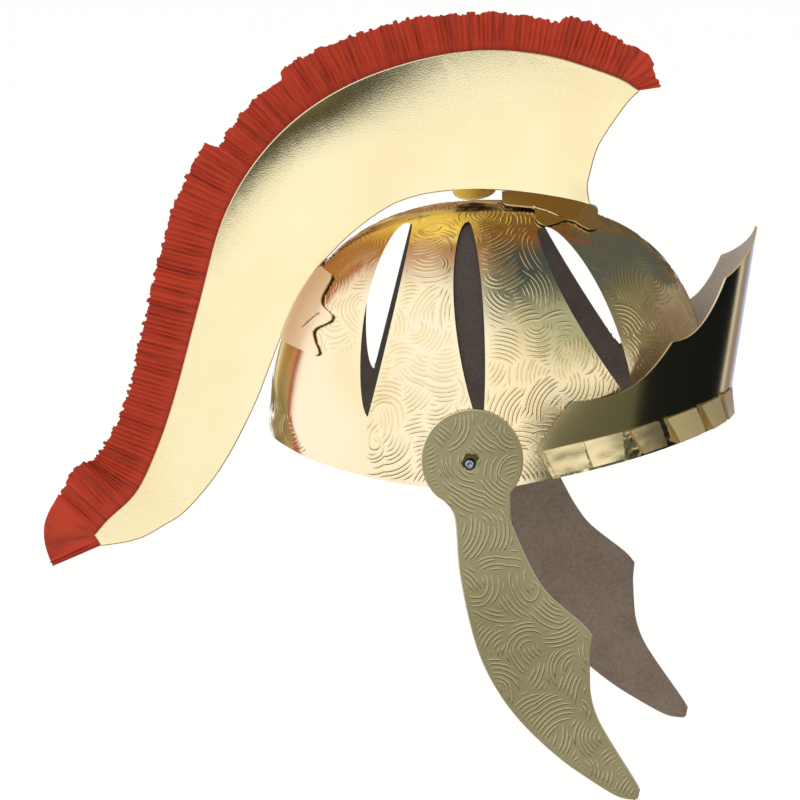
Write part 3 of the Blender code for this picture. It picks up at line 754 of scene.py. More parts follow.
def press_lines(name, lines, material):
    """The traced lines as one raised piece of foil."""
    spots, facings, girths, joins = [], [], [], []
    for line in lines:
        start = len(spots)
        for i, (spot, facing) in enumerate(line):
            spots.append(spot)
            facings.append(facing)
            full = min(1.0, i / SWIRL_TAPER, (len(line) - 1 - i) / SWIRL_TAPER)
            girths.append(SWIRL_TIP + (1 - SWIRL_TIP) * full)
        joins += [(i, i + 1) for i in range(start, len(spots) - 1)]
    mesh = bpy.data.meshes.new(name)
    mesh.from_pydata(spots, joins, [])
    facing = mesh.attributes.new("facing", "FLOAT_VECTOR", "POINT")
    facing.data.foreach_set("vector", [value for facing in facings for value in facing])
    girth = mesh.attributes.new("girth", "FLOAT", "POINT")
    girth.data.foreach_set("value", girths)
    piece = add_piece(name, mesh)
    sweep = piece.modifiers.new("press", "NODES")
    sweep.node_group = press
    values = {"Width": SWIRL_WIDTH, "Height": SWIRL_HEIGHT, "Foil": material}
    for item in press.interface.items_tree:
        if item.in_out == "INPUT" and item.name in values:
            sweep[item.identifier] = values[item.name]
    keep_evaluated(piece)
    for old in list(piece.data.attributes):
        if old.name in ("facing", "girth"):
            piece.data.attributes.remove(old)
    return piece


def grown_slots():
    """Each slot's outline with a plain margin round it."""
    grown = []
    for slot in SLOTS:
        outline = slot_outline(slot)
        middle = sum(outline, Vector((0, 0))) / len(outline)
        grown.append([spot + (spot - middle).normalized() * SWIRL_SLOT_MARGIN
                      + Vector(((spot.x - middle.x) * 0.10, 0)) for spot in outline])
    return grown


def crown_allows(spot):
    """Whether the crown is embossed at a spot: not in cuts, nor where it is creased or worn."""
    turn = atan2(spot.y / DOME_HALF_WIDTH, spot.x / (DOME_FRONT if spot.x > 0 else DOME_BACK))
    under = nape_crease(turn) - spot.z
    worn_top = WORN_TOP + WORN_RAGGED * noise.noise(spot * WORN_RAGGED_SCALE)
    worn = abs(turn) > JOINT_TURN and spot.z < worn_top
    if under < CREASE_PLAIN[1] and (worn or under > CREASE_PLAIN[0]):
        return False
    if spot.z < rim_height(turn) + EDGE_PLAIN:
        return False
    if spot.z < JOINT_TOP + CARD and abs(abs(turn) - JOINT_TURN) < JOINT_PLAIN:
        return False
    if abs(spot.y) < SLOT_REACH[0] * DOME_HALF_WIDTH:
        return True
    side_name = "right" if spot.y < 0 else "left"
    x, _, z = PIVOTS[side_name]
    if hypot(spot.x - x, spot.z - z) < RIVET_PLAIN:
        return False
    return not any(inside_loop(outline, spot.x, spot.z) for outline in slot_margins)


def crown_settle(spot):
    """A spot brought onto the crown's foil, and the way the foil faces there."""
    found = onto_dome(spot)
    turn = atan2(found.y / DOME_HALF_WIDTH, found.x / (DOME_FRONT if found.x > 0 else DOME_BACK))
    return found + dome_facing(found) * foil_out(turn, found.z), foil_facing(found)


def crown_starts():
    """Spots all over the dome in a fixed but scattered order."""
    deal = random.Random(11)
    starts = []
    while len(starts) < CROWN_STARTS:
        spot = Vector((deal.uniform(-1, 1), deal.uniform(-1, 1), deal.uniform(0, 1)))
        if 0.2 < spot.length < 1:
            starts.append(Vector((spot.x * DOME_BACK, spot.y * DOME_HALF_WIDTH,
                                  spot.z * DOME_HEIGHT)))
    return starts


embossed_foil = foil("embossed_gold_foil", FOIL_COLOUR, FOIL_SHADE, FOIL_ROUGHNESS, 0.00004, 900.0)
# The crown's inside wears a darkened copy of the raw card: painted shade.
card_inside_painted_shade = raw_card("raw_card_painted_shade", CARD_PAINTED_SHADE_COLOUR, CARD_PAINTED_SHADE_PALE)
card_edge = foil("pressed_foil_edge", EDGE_COLOUR, EDGE_SHADE, 0.5, 0.00003, 900.0)
crown = make_crown()
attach(crown, "helmet")
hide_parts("crown")
press = press_tree()
slot_margins = grown_slots()
# Darker foil on the raised lines: painted shade.
ridge_foil_painted_shade = foil("raised_gold_foil_painted_shade", PAINTED_SHADE_RIDGE, PAINTED_SHADE_RIDGE_MOTTLE, 0.17, 0.00004, 900.0)
crown_lines = trace_swirls(crown_starts(), crown_settle, crown_allows)
crown_swirls = press_lines("crown_swirls", crown_lines, ridge_foil_painted_shade)
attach(crown_swirls, "helmet")


# Crest boards: two flat cards of smooth pale foil, back to back over the crown from brow to
# nape; their outlines are the frame's, and the plume between them springs their edges open.
CREST_GRAIN = 0.0032
CREST_ROLL = 0.0005
CREST_ROLL_DEPTH = 0.0003
CREST_SPRING = ((0.00, 0.01), (0.36, 0.03), (0.43, 0.14), (0.49, 0.20), (0.62, 0.24),
                (0.70, 0.15), (0.77, 0.085), (0.86, 0.06), (1.00, 0.01))
CREST_SPRING_WIDTH = ((0.00, 0.020), (0.43, 0.025), (0.49, 0.028), (0.62, 0.040), (0.77, 0.060),
                      (1.00, 0.060))
CREST_CORNER = (0.046, 0.128)
CREST_CORNER_FALL = 0.0004
CREST_CORNER_WIDTH = 0.018
CREST_FINE_STEPS = 3
CREST_EDGE_STEP = 0.0004
FLAT_WITHIN = 0.00002
SHARP_TURN = radians(32)
GRAIN_ROW = 0.866
GRAIN_CLEAR = 0.6
PLATE_PROBE = 0.0005
CREST_COLOUR = (0.99, 0.86, 0.52)
CREST_SHADE = (0.97, 0.80, 0.44)


def flat_loops(node, level):
    """The outlines, in X and Z, of a CAD node's flat face at this Y, the longest first."""
    shape = bmesh.new()
    shape.from_mesh(frame["nodes"][node].data)
    bmesh.ops.remove_doubles(shape, verts=shape.verts, dist=FLAT_WITHIN / 2)
    flat = [face for face in shape.faces
            if all(abs(v.co.y - level) < FLAT_WITHIN for v in face.verts)]
    sides = {}
    for face in flat:
        for edge in face.edges:
            sides[edge] = sides.get(edge, 0) + 1
    after = {}
    for edge in (edge for edge, count in sides.items() if count == 1):
        for one, other in (edge.verts, reversed(edge.verts)):
            after.setdefault(one, []).append(other)
    loops = []
    while after:
        start = next(iter(after))
        loop, spot, before = [start], after[start][0], start
        while spot is not start:
            loop.append(spot)
            spot, before = next(v for v in after[spot] if v is not before), spot
        for spot in loop:
            del after[spot]
        loops.append([Vector((v.co.x, v.co.z)) for v in loop])
    shape.free()
    return sorted((turned_left(loop) for loop in loops), key=loop_length, reverse=True)


def loop_length(loop):
    """How long a closed line is."""
    return sum((b - a).length for a, b in zip(loop, loop[1:] + loop[:1]))


def turned_left(loop):
    """The loop in the order that keeps its inside on the left."""
    area = sum(a.x * b.y - b.x * a.y for a, b in zip(loop, loop[1:] + loop[:1]))
    return loop if area > 0 else loop[::-1]


def smoothed_loop(loop, steps):
    """A closed Catmull-Rom line through the loop's points that keeps its sharp corners."""
    count = len(loop)
    sharp = []
    for i in range(count):
        one = (loop[i] - loop[i - 1]).normalized()
        other = (loop[(i + 1) % count] - loop[i]).normalized()
        sharp.append(one.dot(other) < cos(SHARP_TURN))
    points = []
    for i in range(count):
        j = (i + 1) % count
        a = loop[i] * 2 - loop[j] if sharp[i] else loop[i - 1]
        b, c = loop[i], loop[j]
        d = loop[j] * 2 - loop[i] if sharp[j] else loop[(j + 1) % count]
        for step in range(steps):
            t = step / steps
            points.append(0.5 * (2 * b + (c - a) * t + (2 * a - 5 * b + 4 * c - d) * t ** 2
                                 + (3 * b - a - 3 * c + d) * t ** 3))
    return points


def even_loop(loop, step):
    """The loop with its long sides divided."""
    points = []
    for a, b in zip(loop, loop[1:] + loop[:1]):
        count = max(1, round((b - a).length / step))
        points += [a + (b - a) * i / count for i in range(count)]
    return points


def inset_loop(loop, depth):
    """The loop moved to its own left by this depth."""
    moved = []
    for before, spot, after in zip(loop[-1:] + loop[:-1], loop, loop[1:] + loop[:1]):
        one, other = (spot - before).normalized(), (after - spot).normalized()
        left = Vector((-one.y - other.y, one.x + other.x)).normalized()
        moved.append(spot + left * depth)
    return moved


def near_loop(loop, spot):
    """How far a spot lies from a line of points."""
    best = 1.0
    for a, b in zip(loop, loop[1:]):
        side = b - a
        share = min(max((spot - a).dot(side) / max(side.length_squared, 1e-12), 0), 1)
        best = min(best, (a + side * share - spot).length)
    return best


def fill_loops(loops, grain):
    """Even triangles between an outer loop and its holes: points, and corners of triangles."""
    points = [point for loop in loops for point in loop]
    sides = []
    start = 0
    for loop in loops:
        sides += [(start + i, start + (i + 1) % len(loop)) for i in range(len(loop))]
        start += len(loop)
    low = Vector((min(p.x for p in loops[0]), min(p.y for p in loops[0])))
    high = Vector((max(p.x for p in loops[0]), max(p.y for p in loops[0])))
    rise = grain * GRAIN_ROW
    for row in range(1, int((high.y - low.y) / rise)):
        for column in range(1, int((high.x - low.x) / grain)):
            spot = low + Vector(((column + 0.5 * (row % 2)) * grain, row * rise))
            if inside_loop(loops[0], *spot) and all(
                    near_loop(loop + loop[:1], spot) > grain * GRAIN_CLEAR for loop in loops):
                points.append(spot)
    found = geometry.delaunay_2d_cdt(points, sides, [], 2, 1e-7)
    return found[0], found[2]


def card_plate(name, loops, face_y, back_y, grain, roll, roll_depth, bend, materials):
    """A flat card: foil at face_y, raw at back_y, its foil edge rolled back by the die.

    bend gives how far the card stands out of its plane at a spot in X and Z.
    """
    way = 1 if back_y > face_y else -1
    loops = [even_loop(loop, grain) for loop in loops]
    loops = [loops[0]] + [loop[::-1] for loop in loops[1:]]
    insets = [inset_loop(loop, roll) for loop in loops]
    points, corners = fill_loops(insets, grain)
    shape = bmesh.new()

    def place(spots, depth):
        return [shape.verts.new((x, face_y + way * (depth - bend(Vector((x, z)))), z))
                for x, z in spots]

    thick = abs(back_y - face_y)
    face, back = place(points, 0.0), place(points, thick)
    for corner in corners:
        shape.faces.new([face[i] for i in corner]).material_index = 0
        shape.faces.new([back[i] for i in reversed(corner)]).material_index = 1
    start = 0
    for loop in loops:
        count = len(loop)
        rolled, square = place(loop, roll_depth), place(loop, thick)
        for i in range(count):
            j = (i + 1) % count
            face_i, face_j, back_i, back_j = (ring[start + k] for ring in (face, back)
                                              for k in (i, j))
            shape.faces.new((rolled[i], rolled[j], face_j, face_i)).material_index = 3
            shape.faces.new((square[j], square[i], back_i, back_j)).material_index = 1
            shape.faces.new((rolled[j], rolled[i], square[i], square[j])).material_index = 2
        start += count
    bmesh.ops.recalc_face_normals(shape, faces=shape.faces)
    mesh = bpy.data.meshes.new(name)
    shape.to_mesh(mesh)
    shape.free()
    mesh.shade_smooth()
    facings = {}
    normals = []
    for polygon in mesh.polygons:
        for index in polygon.vertices:
            if polygon.material_index > 1:
                normals.append(polygon.normal)
                continue
            if index not in facings:
                facings[index] = plate_facing(bend, way, mesh.vertices[index].co)
            normals.append(facings[index] * (-1 if polygon.material_index else 1))
    mesh.normals_split_custom_set(normals)
    return add_piece(name, mesh, *materials)


def plate_facing(bend, way, place):
    """The way a bent card faces at a place."""
    across, up = Vector((PLATE_PROBE, 0)), Vector((0, PLATE_PROBE))
    spot = Vector((place.x, place.z))
    slope_x = (bend(spot + across) - bend(spot - across)) / (2 * PLATE_PROBE)
    slope_z = (bend(spot + up) - bend(spot - up)) / (2 * PLATE_PROBE)
    return Vector((-slope_x, -way, -slope_z)).normalized()


def outer_edge(loop):
    """The part of the crest's outline that holds the plume, from the tail's tip to the brow."""
    tail = min(range(len(loop)), key=lambda i: loop[i].y)
    turned = loop[tail:] + loop[:tail]
    brow = max(range(len(turned)), key=lambda i: turned[i].x)
    over = turned[brow:] + turned[:1]
    return over[::-1]


def edge_tree(edge, step):
    """The crest's outer edge as close places to search, with how far along each one lies."""
    close = even_loop(edge, step)[:-max(1, round((edge[0] - edge[-1]).length / step))]
    tree = kdtree.KDTree(len(close))
    for i, spot in enumerate(close):
        tree.insert((spot.x, spot.y, 0), i)
    tree.balance()
    return tree, len(close)


def crest_bend(spot):
    """The boards spring open along the plume, and their lower front corner curls in."""
    tree, count = crest_tree
    _, index, away = tree.find((spot.x, spot.y, 0))
    width = from_rows(CREST_SPRING_WIDTH, index / count)
    spring = from_rows(CREST_SPRING, index / count) * width / 3 * max(1 - away / width, 0) ** 3
    corner = max(1 - (spot - Vector(CREST_CORNER)).length / CREST_CORNER_WIDTH, 0)
    return spring - CREST_CORNER_FALL * corner * corner


# Tabs folded out of each board and glued down on the dome. Their plans are seen from above, as
# shares of the dome's length and half width, and for the rear one from behind, as shares of
# its half width and height.
TAB_GAP = 0.0006
TAB_CARD = 0.0008
TAB_GRAIN = 0.0010
TAB_FOLD_RUN = 0.0230
TAB_SLIT = 0.0004
HALVINGS = 30
CORNER_CUT = 0.2
CREST_ARCH = 0.0072
TAB_ROOT = 0.017
CREST_UNDER = ((-0.928, 0.08), (-0.785, 0.10), (-0.680, 0.18), (-0.565, 0.42), (-0.395, 0.90),
               (-0.290, 1.00), (-0.050, 1.00), (0.060, 0.95), (0.280, 0.68), (0.444, 0.55),
               (0.520, 0.50))
FRONT_TAB = ((0.060, 0.017), (0.066, 0.165), (0.140, 0.175), (0.208, 0.180), (0.206, 0.270),
             (0.214, 0.352), (0.250, 0.392), (0.296, 0.345), (0.345, 0.272), (0.382, 0.272),
             (0.412, 0.305), (0.450, 0.318), (0.480, 0.275), (0.488, 0.210), (0.480, 0.080),
             (0.462, 0.017))
FRONT_SLIT = ((0.203, 0.178), (0.265, 0.208), (0.318, 0.256))
MIDDLE_TAB = ((-0.155, 0.017), (-0.146, 0.062), (-0.120, 0.096), (-0.078, 0.114),
              (-0.036, 0.104), (0.000, 0.080), (0.027, 0.046), (0.037, 0.017))
REAR_TAB = ((0.762, 0.017), (0.752, 0.299), (0.735, 0.340), (0.652, 0.382), (0.618, 0.525),
            (0.595, 0.540), (0.554, 0.452), (0.520, 0.495), (0.476, 0.566), (0.461, 0.545),
            (0.477, 0.400), (0.482, 0.080), (0.480, 0.017))
REAR_SLIT = ((0.548, 0.364), (0.610, 0.432))


def rounded_plan(plan, times):
    """A closed plan with its corners cut, each pass finer than the one before."""
    plan = [Vector(spot) for spot in plan]
    for _ in range(times):
        plan = [spot for a, b in zip(plan, plan[1:] + plan[:1])
                for spot in (a.lerp(b, CORNER_CUT), a.lerp(b, 1 - CORNER_CUT))]
    return plan


def slit_plan(line):
    """A hair-thin closed cut along a line, pointed at both ends."""
    line = [Vector(spot) for spot in line]
    along = (line[-1] - line[0]).normalized()
    side = Vector((-along.y, along.x)) * TAB_SLIT / 2
    middle = line[1:-1] or [(line[0] + line[1]) / 2]
    return ([line[0]] + [spot + side for spot in middle] + [line[-1]]
            + [spot - side for spot in reversed(middle)])


def over_dome(x, y, out):
    """The place above a spot of the dome's plan."""
    length = DOME_FRONT if x > 0 else DOME_BACK
    power = squareness(atan2(y / DOME_HALF_WIDTH, x / length))
    ring = hypot(x / length, y / DOME_HALF_WIDTH)
    found = Vector((x, y, DOME_HEIGHT * max(1 - ring ** power, 0) ** (1 / power)))
    return found + dome_facing(found) * out


def behind_dome(y, z, out):
    """The place behind a spot of the dome seen from the back."""
    near, far = 0.0, DOME_BACK
    for _ in range(HALVINGS):
        middle = (near + far) / 2
        if dome_size(Vector((-middle, y, z))) < 1:
            near = middle
        else:
            far = middle
    found = Vector((-near, y, z))
    return found + dome_facing(found) * out


def tab_fall(reach, share):
    """How far a tab is still above the dome, this far out from its fold."""
    gap = CREST_ARCH * from_rows(CREST_UNDER, share)
    settled = min(1, max(reach - TAB_ROOT * DOME_HALF_WIDTH, 0) / TAB_FOLD_RUN)
    return TAB_GAP + max(gap - TAB_GAP, 0) * (1 - settled) ** 2


def draped_card(shape, loops, place, finish):
    """Adds a thin card to a shape: place(spot, out) puts a spot of its plan on the dome."""
    loops = [even_loop(turned_left(loop), TAB_GRAIN) for loop in loops]
    loops = [loops[0]] + [loop[::-1] for loop in loops[1:]]
    points, corners = fill_loops(loops, TAB_GRAIN)
    face, back = ([shape.verts.new(place(spot, out)) for spot in points] for out in (TAB_CARD, 0.0))
    for corner in corners:
        shape.faces.new([face[i] for i in corner]).material_index = finish
        shape.faces.new([back[i] for i in reversed(corner)]).material_index = 1
    start = 0
    for loop in loops:
        for i in range(len(loop)):
            j = (i + 1) % len(loop)
            shape.faces.new((face[start + j], face[start + i],
                             back[start + i], back[start + j])).material_index = 2
        start += len(loop)


def make_tabs(side_name, side):
    """The three tabs of one board."""
    def top_place(spot, out):
        fall = tab_fall(spot.y, spot.x / (DOME_FRONT if spot.x > 0 else DOME_BACK))
        return over_dome(spot.x, side * spot.y, fall + out)

    def nape_place(spot, out):
        under = behind_dome(0.0, spot.x, 0.0).x / DOME_BACK
        return behind_dome(side * spot.y, spot.x, tab_fall(spot.y, under) + out)

    shape = bmesh.new()
    lie = ((FRONT_TAB, FRONT_SLIT, DOME_FRONT, top_place, 0),
           (MIDDLE_TAB, None, DOME_BACK, top_place, 0),
           (REAR_TAB, REAR_SLIT, DOME_HEIGHT, nape_place, 3))
    for plan, slit, length, place, finish in lie:
        sized = [Vector((x * length, y * DOME_HALF_WIDTH)) for x, y in plan]
        loops = [rounded_plan(sized, 2)]
        if slit:
            loops.append(slit_plan([Vector((x * length, y * DOME_HALF_WIDTH)) for x, y in slit]))
        draped_card(shape, loops, place, finish)
    bmesh.ops.recalc_face_normals(shape, faces=shape.faces)
    mesh = bpy.data.meshes.new("crest_tabs_" + side_name)
    shape.to_mesh(mesh)
    shape.free()
    mesh.shade_smooth()
    mesh.set_sharp_from_angle(angle=radians(50))
    return add_piece("crest_tabs_" + side_name, mesh, smooth_foil, card_inside_painted_shade, tab_edge, rubbed_tab)


rubbed_tab = rubbed_foil("rubbed_tab_foil", (0.98, 0.80, 0.52), (0.94, 0.72, 0.44), 0.30, 0.00003,
                         900.0, 0.55)
tab_edge = foil("thin_tab_edge", (0.90, 0.74, 0.42), (0.70, 0.52, 0.26), 0.45, 0.00002, 900.0)
# The crest boards' cut walls are a dark green-grey foil: painted shade along the boards' outer edge.
painted_shade_edge = foil("cut_crest_edge_painted_shade", (0.20, 0.22, 0.16), (0.12, 0.14, 0.10), 0.4, 0.00002, 900.0)
smooth_foil = foil("smooth_pale_foil", CREST_COLOUR, CREST_SHADE, 0.12, 0.000045, 1500.0)
for side_name, side in SIDES.items():
    node = "crest_board_" + side_name
    low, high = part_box(node)
    inner_y = max(low.y, high.y, key=lambda y: -abs(y))
    crest_loop = smoothed_loop(flat_loops(node, inner_y)[0], CREST_FINE_STEPS)
    crest_edge = outer_edge(crest_loop)
    crest_tree = edge_tree(crest_edge, CREST_EDGE_STEP)
    board = card_plate("crest_foil_" + side_name, [crest_loop], inner_y + side * CARD, inner_y,
                       CREST_GRAIN, CREST_ROLL, CREST_ROLL_DEPTH, crest_bend,
                       (smooth_foil, card_inside_painted_shade, painted_shade_edge, card_edge))
    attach(board, "helmet")
    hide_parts(node)
    tabs = make_tabs(side_name, side)
    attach(tabs, "helmet")


# Visor: one strip of smooth foil card bent round the brow, fixed to the crown at both ends;
# its top edge rises in steps to a peak, and a row of blocks is pressed along its lower edge.
VISOR_STAND_OFF = 0.0028
VISOR_SEAT_GAP = 0.0004
VISOR_SEAT_TURN = radians(24)
VISOR_LEAN = 0.15
VISOR_PEAK = 0.117
VISOR_HALF_TURN = radians(77)
VISOR_TOP = (
    {"turn": 0.00, "height": 1.000, "scoop": 1.15},
    {"turn": 0.335, "height": 0.830, "scoop": 2.40},
    {"turn": 0.57, "height": 0.590, "scoop": 2.60},
    {"turn": 0.89, "height": 0.364, "scoop": 0.85},
    {"turn": 1.00, "height": 0.171, "scoop": 1.00},
)
VISOR_END_SHARE = 0.95
VISOR_COLUMNS = 360
VISOR_BAND_ROWS = 16
VISOR_UPPER_ROWS = 30
BAND_HEIGHT = 0.0150
BAND_CRUMPLE = 0.0006
BAND_FLARE = 0.0014
BAND_CALM = radians(14)
CRUMPLE_SCALE = (40, 340)
VISOR_COLOUR = (0.95, 0.80, 0.46)
VISOR_SHADE = (0.88, 0.70, 0.36)
# Blocks, from each end to the middle: turns in degrees of the top and low corners away from the
# middle, then of those toward it, how far those four corners stand out in millimetres, and
# which of the visor's foils they wear.
BLOCKS = (
    {"turns": (75.6, 72.8, 66.2, 64.4), "out": (0.6, 1.9, 0.5, 2.5), "finish": 0},
    {"turns": (65.8, 63.8, 56.4, 55.7), "out": (0.8, 2.9, 0.6, 2.6), "finish": 0},
    {"turns": (54.6, 50.5, 46.0, 43.0), "out": (1.7, 3.7, 1.1, 3.1), "finish": 3},
    {"turns": (43.6, 39.6, 32.4, 29.3), "out": (1.7, 5.2, 1.0, 4.5), "finish": 4},
    {"turns": (30.6, 26.0, 20.4, 17.2), "out": (1.7, 5.3, 1.0, 4.6), "finish": 4},
    {"turns": (18.0, 15.4, 8.4, 7.0), "out": (1.7, 4.7, 1.0, 4.0), "finish": 3},
)
BLOCK_TOP = 0.0148
BLOCK_LOW = 0.0016
BLOCK_GRID = 8
BLOCK_BULGE = 0.00012
BLOCK_FOOT = 0.0012


def visor_top(turn):
    """Height of the visor's upper edge: a centre peak, then two pairs of cusps."""
    share = min(abs(turn) / VISOR_HALF_TURN, 1)
    for row, following in zip(VISOR_TOP, VISOR_TOP[1:]):
        if share <= following["turn"]:
            left = 1 - (share - row["turn"]) / (following["turn"] - row["turn"])
            fall = row["height"] - following["height"]
            return VISOR_PEAK * (following["height"] + fall * left ** row["scoop"])
    return VISOR_PEAK * VISOR_TOP[-1]["height"]


def visor_bottom(turn):
    """Height of the visor's lower edge: the crown's rim, then up to the corner at each end."""
    share = min(abs(turn) / VISOR_HALF_TURN, 1)
    level = rim_height(turn)
    if share <= VISOR_END_SHARE:
        return level
    end = VISOR_PEAK * VISOR_TOP[-1]["height"] - CARD
    return level + (end - level) * (share - VISOR_END_SHARE) / (1 - VISOR_END_SHARE)


def visor_point(turn, height, out):
    """A point on the visor's outer face, moved outward."""
    power = squareness(turn)
    ring = max(1 - (height / DOME_HEIGHT) ** power, 0) ** (1 / power)
    share = min(max((VISOR_HALF_TURN - abs(turn)) / VISOR_SEAT_TURN, 0), 1)
    free = share * share * (3 - 2 * share)
    stand_off = VISOR_STAND_OFF + VISOR_LEAN * height
    length = DOME_FRONT * (ring + (1 - ring) * free) + stand_off * free
    width = DOME_HALF_WIDTH * (ring + (1 - ring) * free)
    wall_out = VISOR_SEAT_GAP + CARD + out
    return Vector(((length + wall_out) * cos(turn), (width + wall_out) * sin(turn), height))


def band_out(turn, height):
    """The band is crumpled between its blocks and flares at its lower edge."""
    over = height - rim_height(turn)
    if over > BAND_HEIGHT:
        return 0.0
    share = 1 - over / BAND_HEIGHT
    place = Vector((turn * CRUMPLE_SCALE[0], over * CRUMPLE_SCALE[1], 5.0))
    crumple = abs(noise.noise(place)) + 0.5 * abs(noise.noise(place * 2.3))
    smooth_end = min(1.0, max(VISOR_HALF_TURN - abs(turn), 0) / BAND_CALM)
    return smooth_end * (BAND_FLARE * share + BAND_CRUMPLE * crumple * min(1.0, share * 5))


def grid_border(grid):
    """The corners round a grid, once each, from its first row on."""
    return (grid[0][:-1] + [row[-1] for row in grid[:-1]]
            + grid[-1][:0:-1] + [row[0] for row in grid[:0:-1]])


def add_block(shape, turns, outs, finish, side):
    """One flat pressed block: a facet with a thin wall all round down to the band."""
    corner_turns = [radians(turn) for turn in turns]
    top_away, low_away, top_near, low_near = [
        visor_point(side * turn, rim_height(turn) + level, out / 1000) for turn, level, out
        in zip(corner_turns, (BLOCK_TOP, BLOCK_LOW, BLOCK_TOP, BLOCK_LOW), outs)]
    grid = []
    for row in range(BLOCK_GRID + 1):
        up = row / BLOCK_GRID
        line = []
        for column in range(BLOCK_GRID + 1):
            inward = column / BLOCK_GRID
            away = turns[1] + (turns[0] - turns[1]) * up
            near = turns[3] + (turns[2] - turns[3]) * up
            turn = radians(away + (near - away) * inward)
            low_out = outs[1] + (outs[3] - outs[1]) * inward
            top_out = outs[0] + (outs[2] - outs[0]) * inward
            flat = low_away.lerp(low_near, inward).lerp(top_away.lerp(top_near, inward), up)
            bulge = BLOCK_BULGE * noise.noise(Vector((turn * 30, up * 3, 9.0)))
            line.append((flat, (low_out + (top_out - low_out) * up) / 1000, bulge))
        grid.append(line)
    facing = (grid[0][-1][0] - grid[0][0][0]).cross(grid[-1][0][0] - grid[0][0][0]).normalized()
    middle = grid[BLOCK_GRID // 2][BLOCK_GRID // 2][0]
    if facing.dot(Vector((middle.x, middle.y, 0))) < 0:
        facing = -facing
    front = [[shape.verts.new(flat + facing * bulge) for flat, _, bulge in line] for line in grid]
    foot = [[shape.verts.new(flat - facing * (out + BLOCK_FOOT)) for flat, out, _ in line]
            for line in grid]
    for row in range(BLOCK_GRID):
        for column in range(BLOCK_GRID):
            corners = ((row, column), (row, column + 1), (row + 1, column + 1), (row + 1, column))
            shape.faces.new([front[r][c] for r, c in corners]).material_index = finish
            shape.faces.new([foot[r][c] for r, c in reversed(corners)]).material_index = 1
    border = [(front_spot, foot_spot) for front_spot, foot_spot
              in zip(grid_border(front), grid_border(foot))]
    for (a, a_foot), (b, b_foot) in zip(border, border[1:] + border[:1]):
        shape.faces.new((a, b, b_foot, a_foot)).material_index = 2


def make_visor():
    """The bent strip, its two faces joined round the border, and the blocks on its band."""
    shape = bmesh.new()
    grids = []
    rows = VISOR_BAND_ROWS + VISOR_UPPER_ROWS
    for inward in (0, CARD):
        grid = []
        for row in range(rows + 1):
            line = []
            for column in range(VISOR_COLUMNS + 1):
                turn = VISOR_HALF_TURN * (2 * column / VISOR_COLUMNS - 1)
                low, high = visor_bottom(turn), visor_top(turn)
                knee = low + min(BAND_HEIGHT, (high - low) * 0.5)
                if row <= VISOR_BAND_ROWS:
                    height = low + (knee - low) * row / VISOR_BAND_ROWS
                else:
                    height = knee + (high - knee) * (row - VISOR_BAND_ROWS) / VISOR_UPPER_ROWS
                line.append(shape.verts.new(
                    visor_point(turn, height, band_out(turn, height) - inward)))
            grid.append(line)
        grids.append(grid)
    for finish, grid in enumerate(grids):
        for row, above in zip(grid, grid[1:]):
            for i in range(VISOR_COLUMNS):
                shape.faces.new((row[i], row[i + 1], above[i + 1], above[i])).material_index = finish
    border = list(zip(*(grid_border(grid) for grid in grids)))
    for (a, a_inner), (b, b_inner) in zip(border, border[1:] + border[:1]):
        shape.faces.new((a, b, b_inner, a_inner)).material_index = 2
    for block in BLOCKS:
        for side in SIDES.values():
            add_block(shape, block["turns"], block["out"], block["finish"], side)
    bmesh.ops.recalc_face_normals(shape, faces=shape.faces)
    mesh = bpy.data.meshes.new("visor_foil")
    shape.to_mesh(mesh)
    shape.free()
    mesh.shade_smooth()
    mesh.set_sharp_from_angle(angle=radians(35))
    return add_piece("visor_foil", mesh, visor_face, visor_back, card_edge, dulled, rubbed)


visor_face = foil("smooth_visor_foil", VISOR_COLOUR, VISOR_SHADE, 0.15, 0.00002, 500.0)
visor_back = raw_card("raw_card_visor", (0.38, 0.325, 0.285), (0.50, 0.435, 0.39))
dulled = rubbed_foil("dulled_visor_foil", VISOR_COLOUR, VISOR_SHADE, 0.22, 0.00003, 500.0, 0.95)
rubbed = rubbed_foil("rubbed_visor_foil", VISOR_COLOUR, VISOR_SHADE, 0.26, 0.00003, 500.0, 0.68)
visor = make_visor()
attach(visor, "helmet")
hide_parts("visor")


# Plume: strips of red crepe paper gathered in small pleats and held between the boards.
PLUME_ROOT = 0.014
PLUME_PROUD = 0.025
PLUME_SHEET = 0.0006
PLUME_PLEAT = 0.0024
PLUME_SWING = 0.0007
PLUME_WAVE = 0.0011
PLUME_RAGGED = 0.0009
PLEAT_DRIFT = 3.0
PLEAT_DRIFT_SCALE = 160
SNIP_SCALE = 520
FRAY = 0.8
FRAY_SCALE = 900
WAVE_SCALE = 75
PLUME_PER_PLEAT = 8
PLUME_ROWS = 12
PLUME_HELD_ROWS = 2
PLUME_REACH = 6
TAIL_FAN = radians(-8)
BROW_FAN = radians(46)
PLUME_FAN_SHARE = 0.03
PLUME_ROOT_TAPER = 0.07
PLUME_END_ROOT = 0.15
PLUME_EDGE = ((0.00, 1.04), (0.03, 1.10), (0.05, 1.20), (0.09, 1.10), (0.16, 0.93), (0.215, 0.93),
              (0.267, 0.98), (0.306, 1.00), (0.41, 1.02), (0.489, 1.03), (0.494, 0.76),
              (0.56, 0.86), (0.587, 0.80), (0.592, 0.90), (0.61, 0.95), (0.657, 0.86),
              (0.722, 0.84), (0.773, 0.77), (0.849, 0.72), (0.89, 0.67), (0.895, 0.86),
              (0.92, 0.88), (0.95, 0.74), (0.98, 0.68), (1.00, 0.42))
CREPE_COLOUR = (0.46, 0.036, 0.009)
CREPE_DEEP = (0.19, 0.014, 0.004)


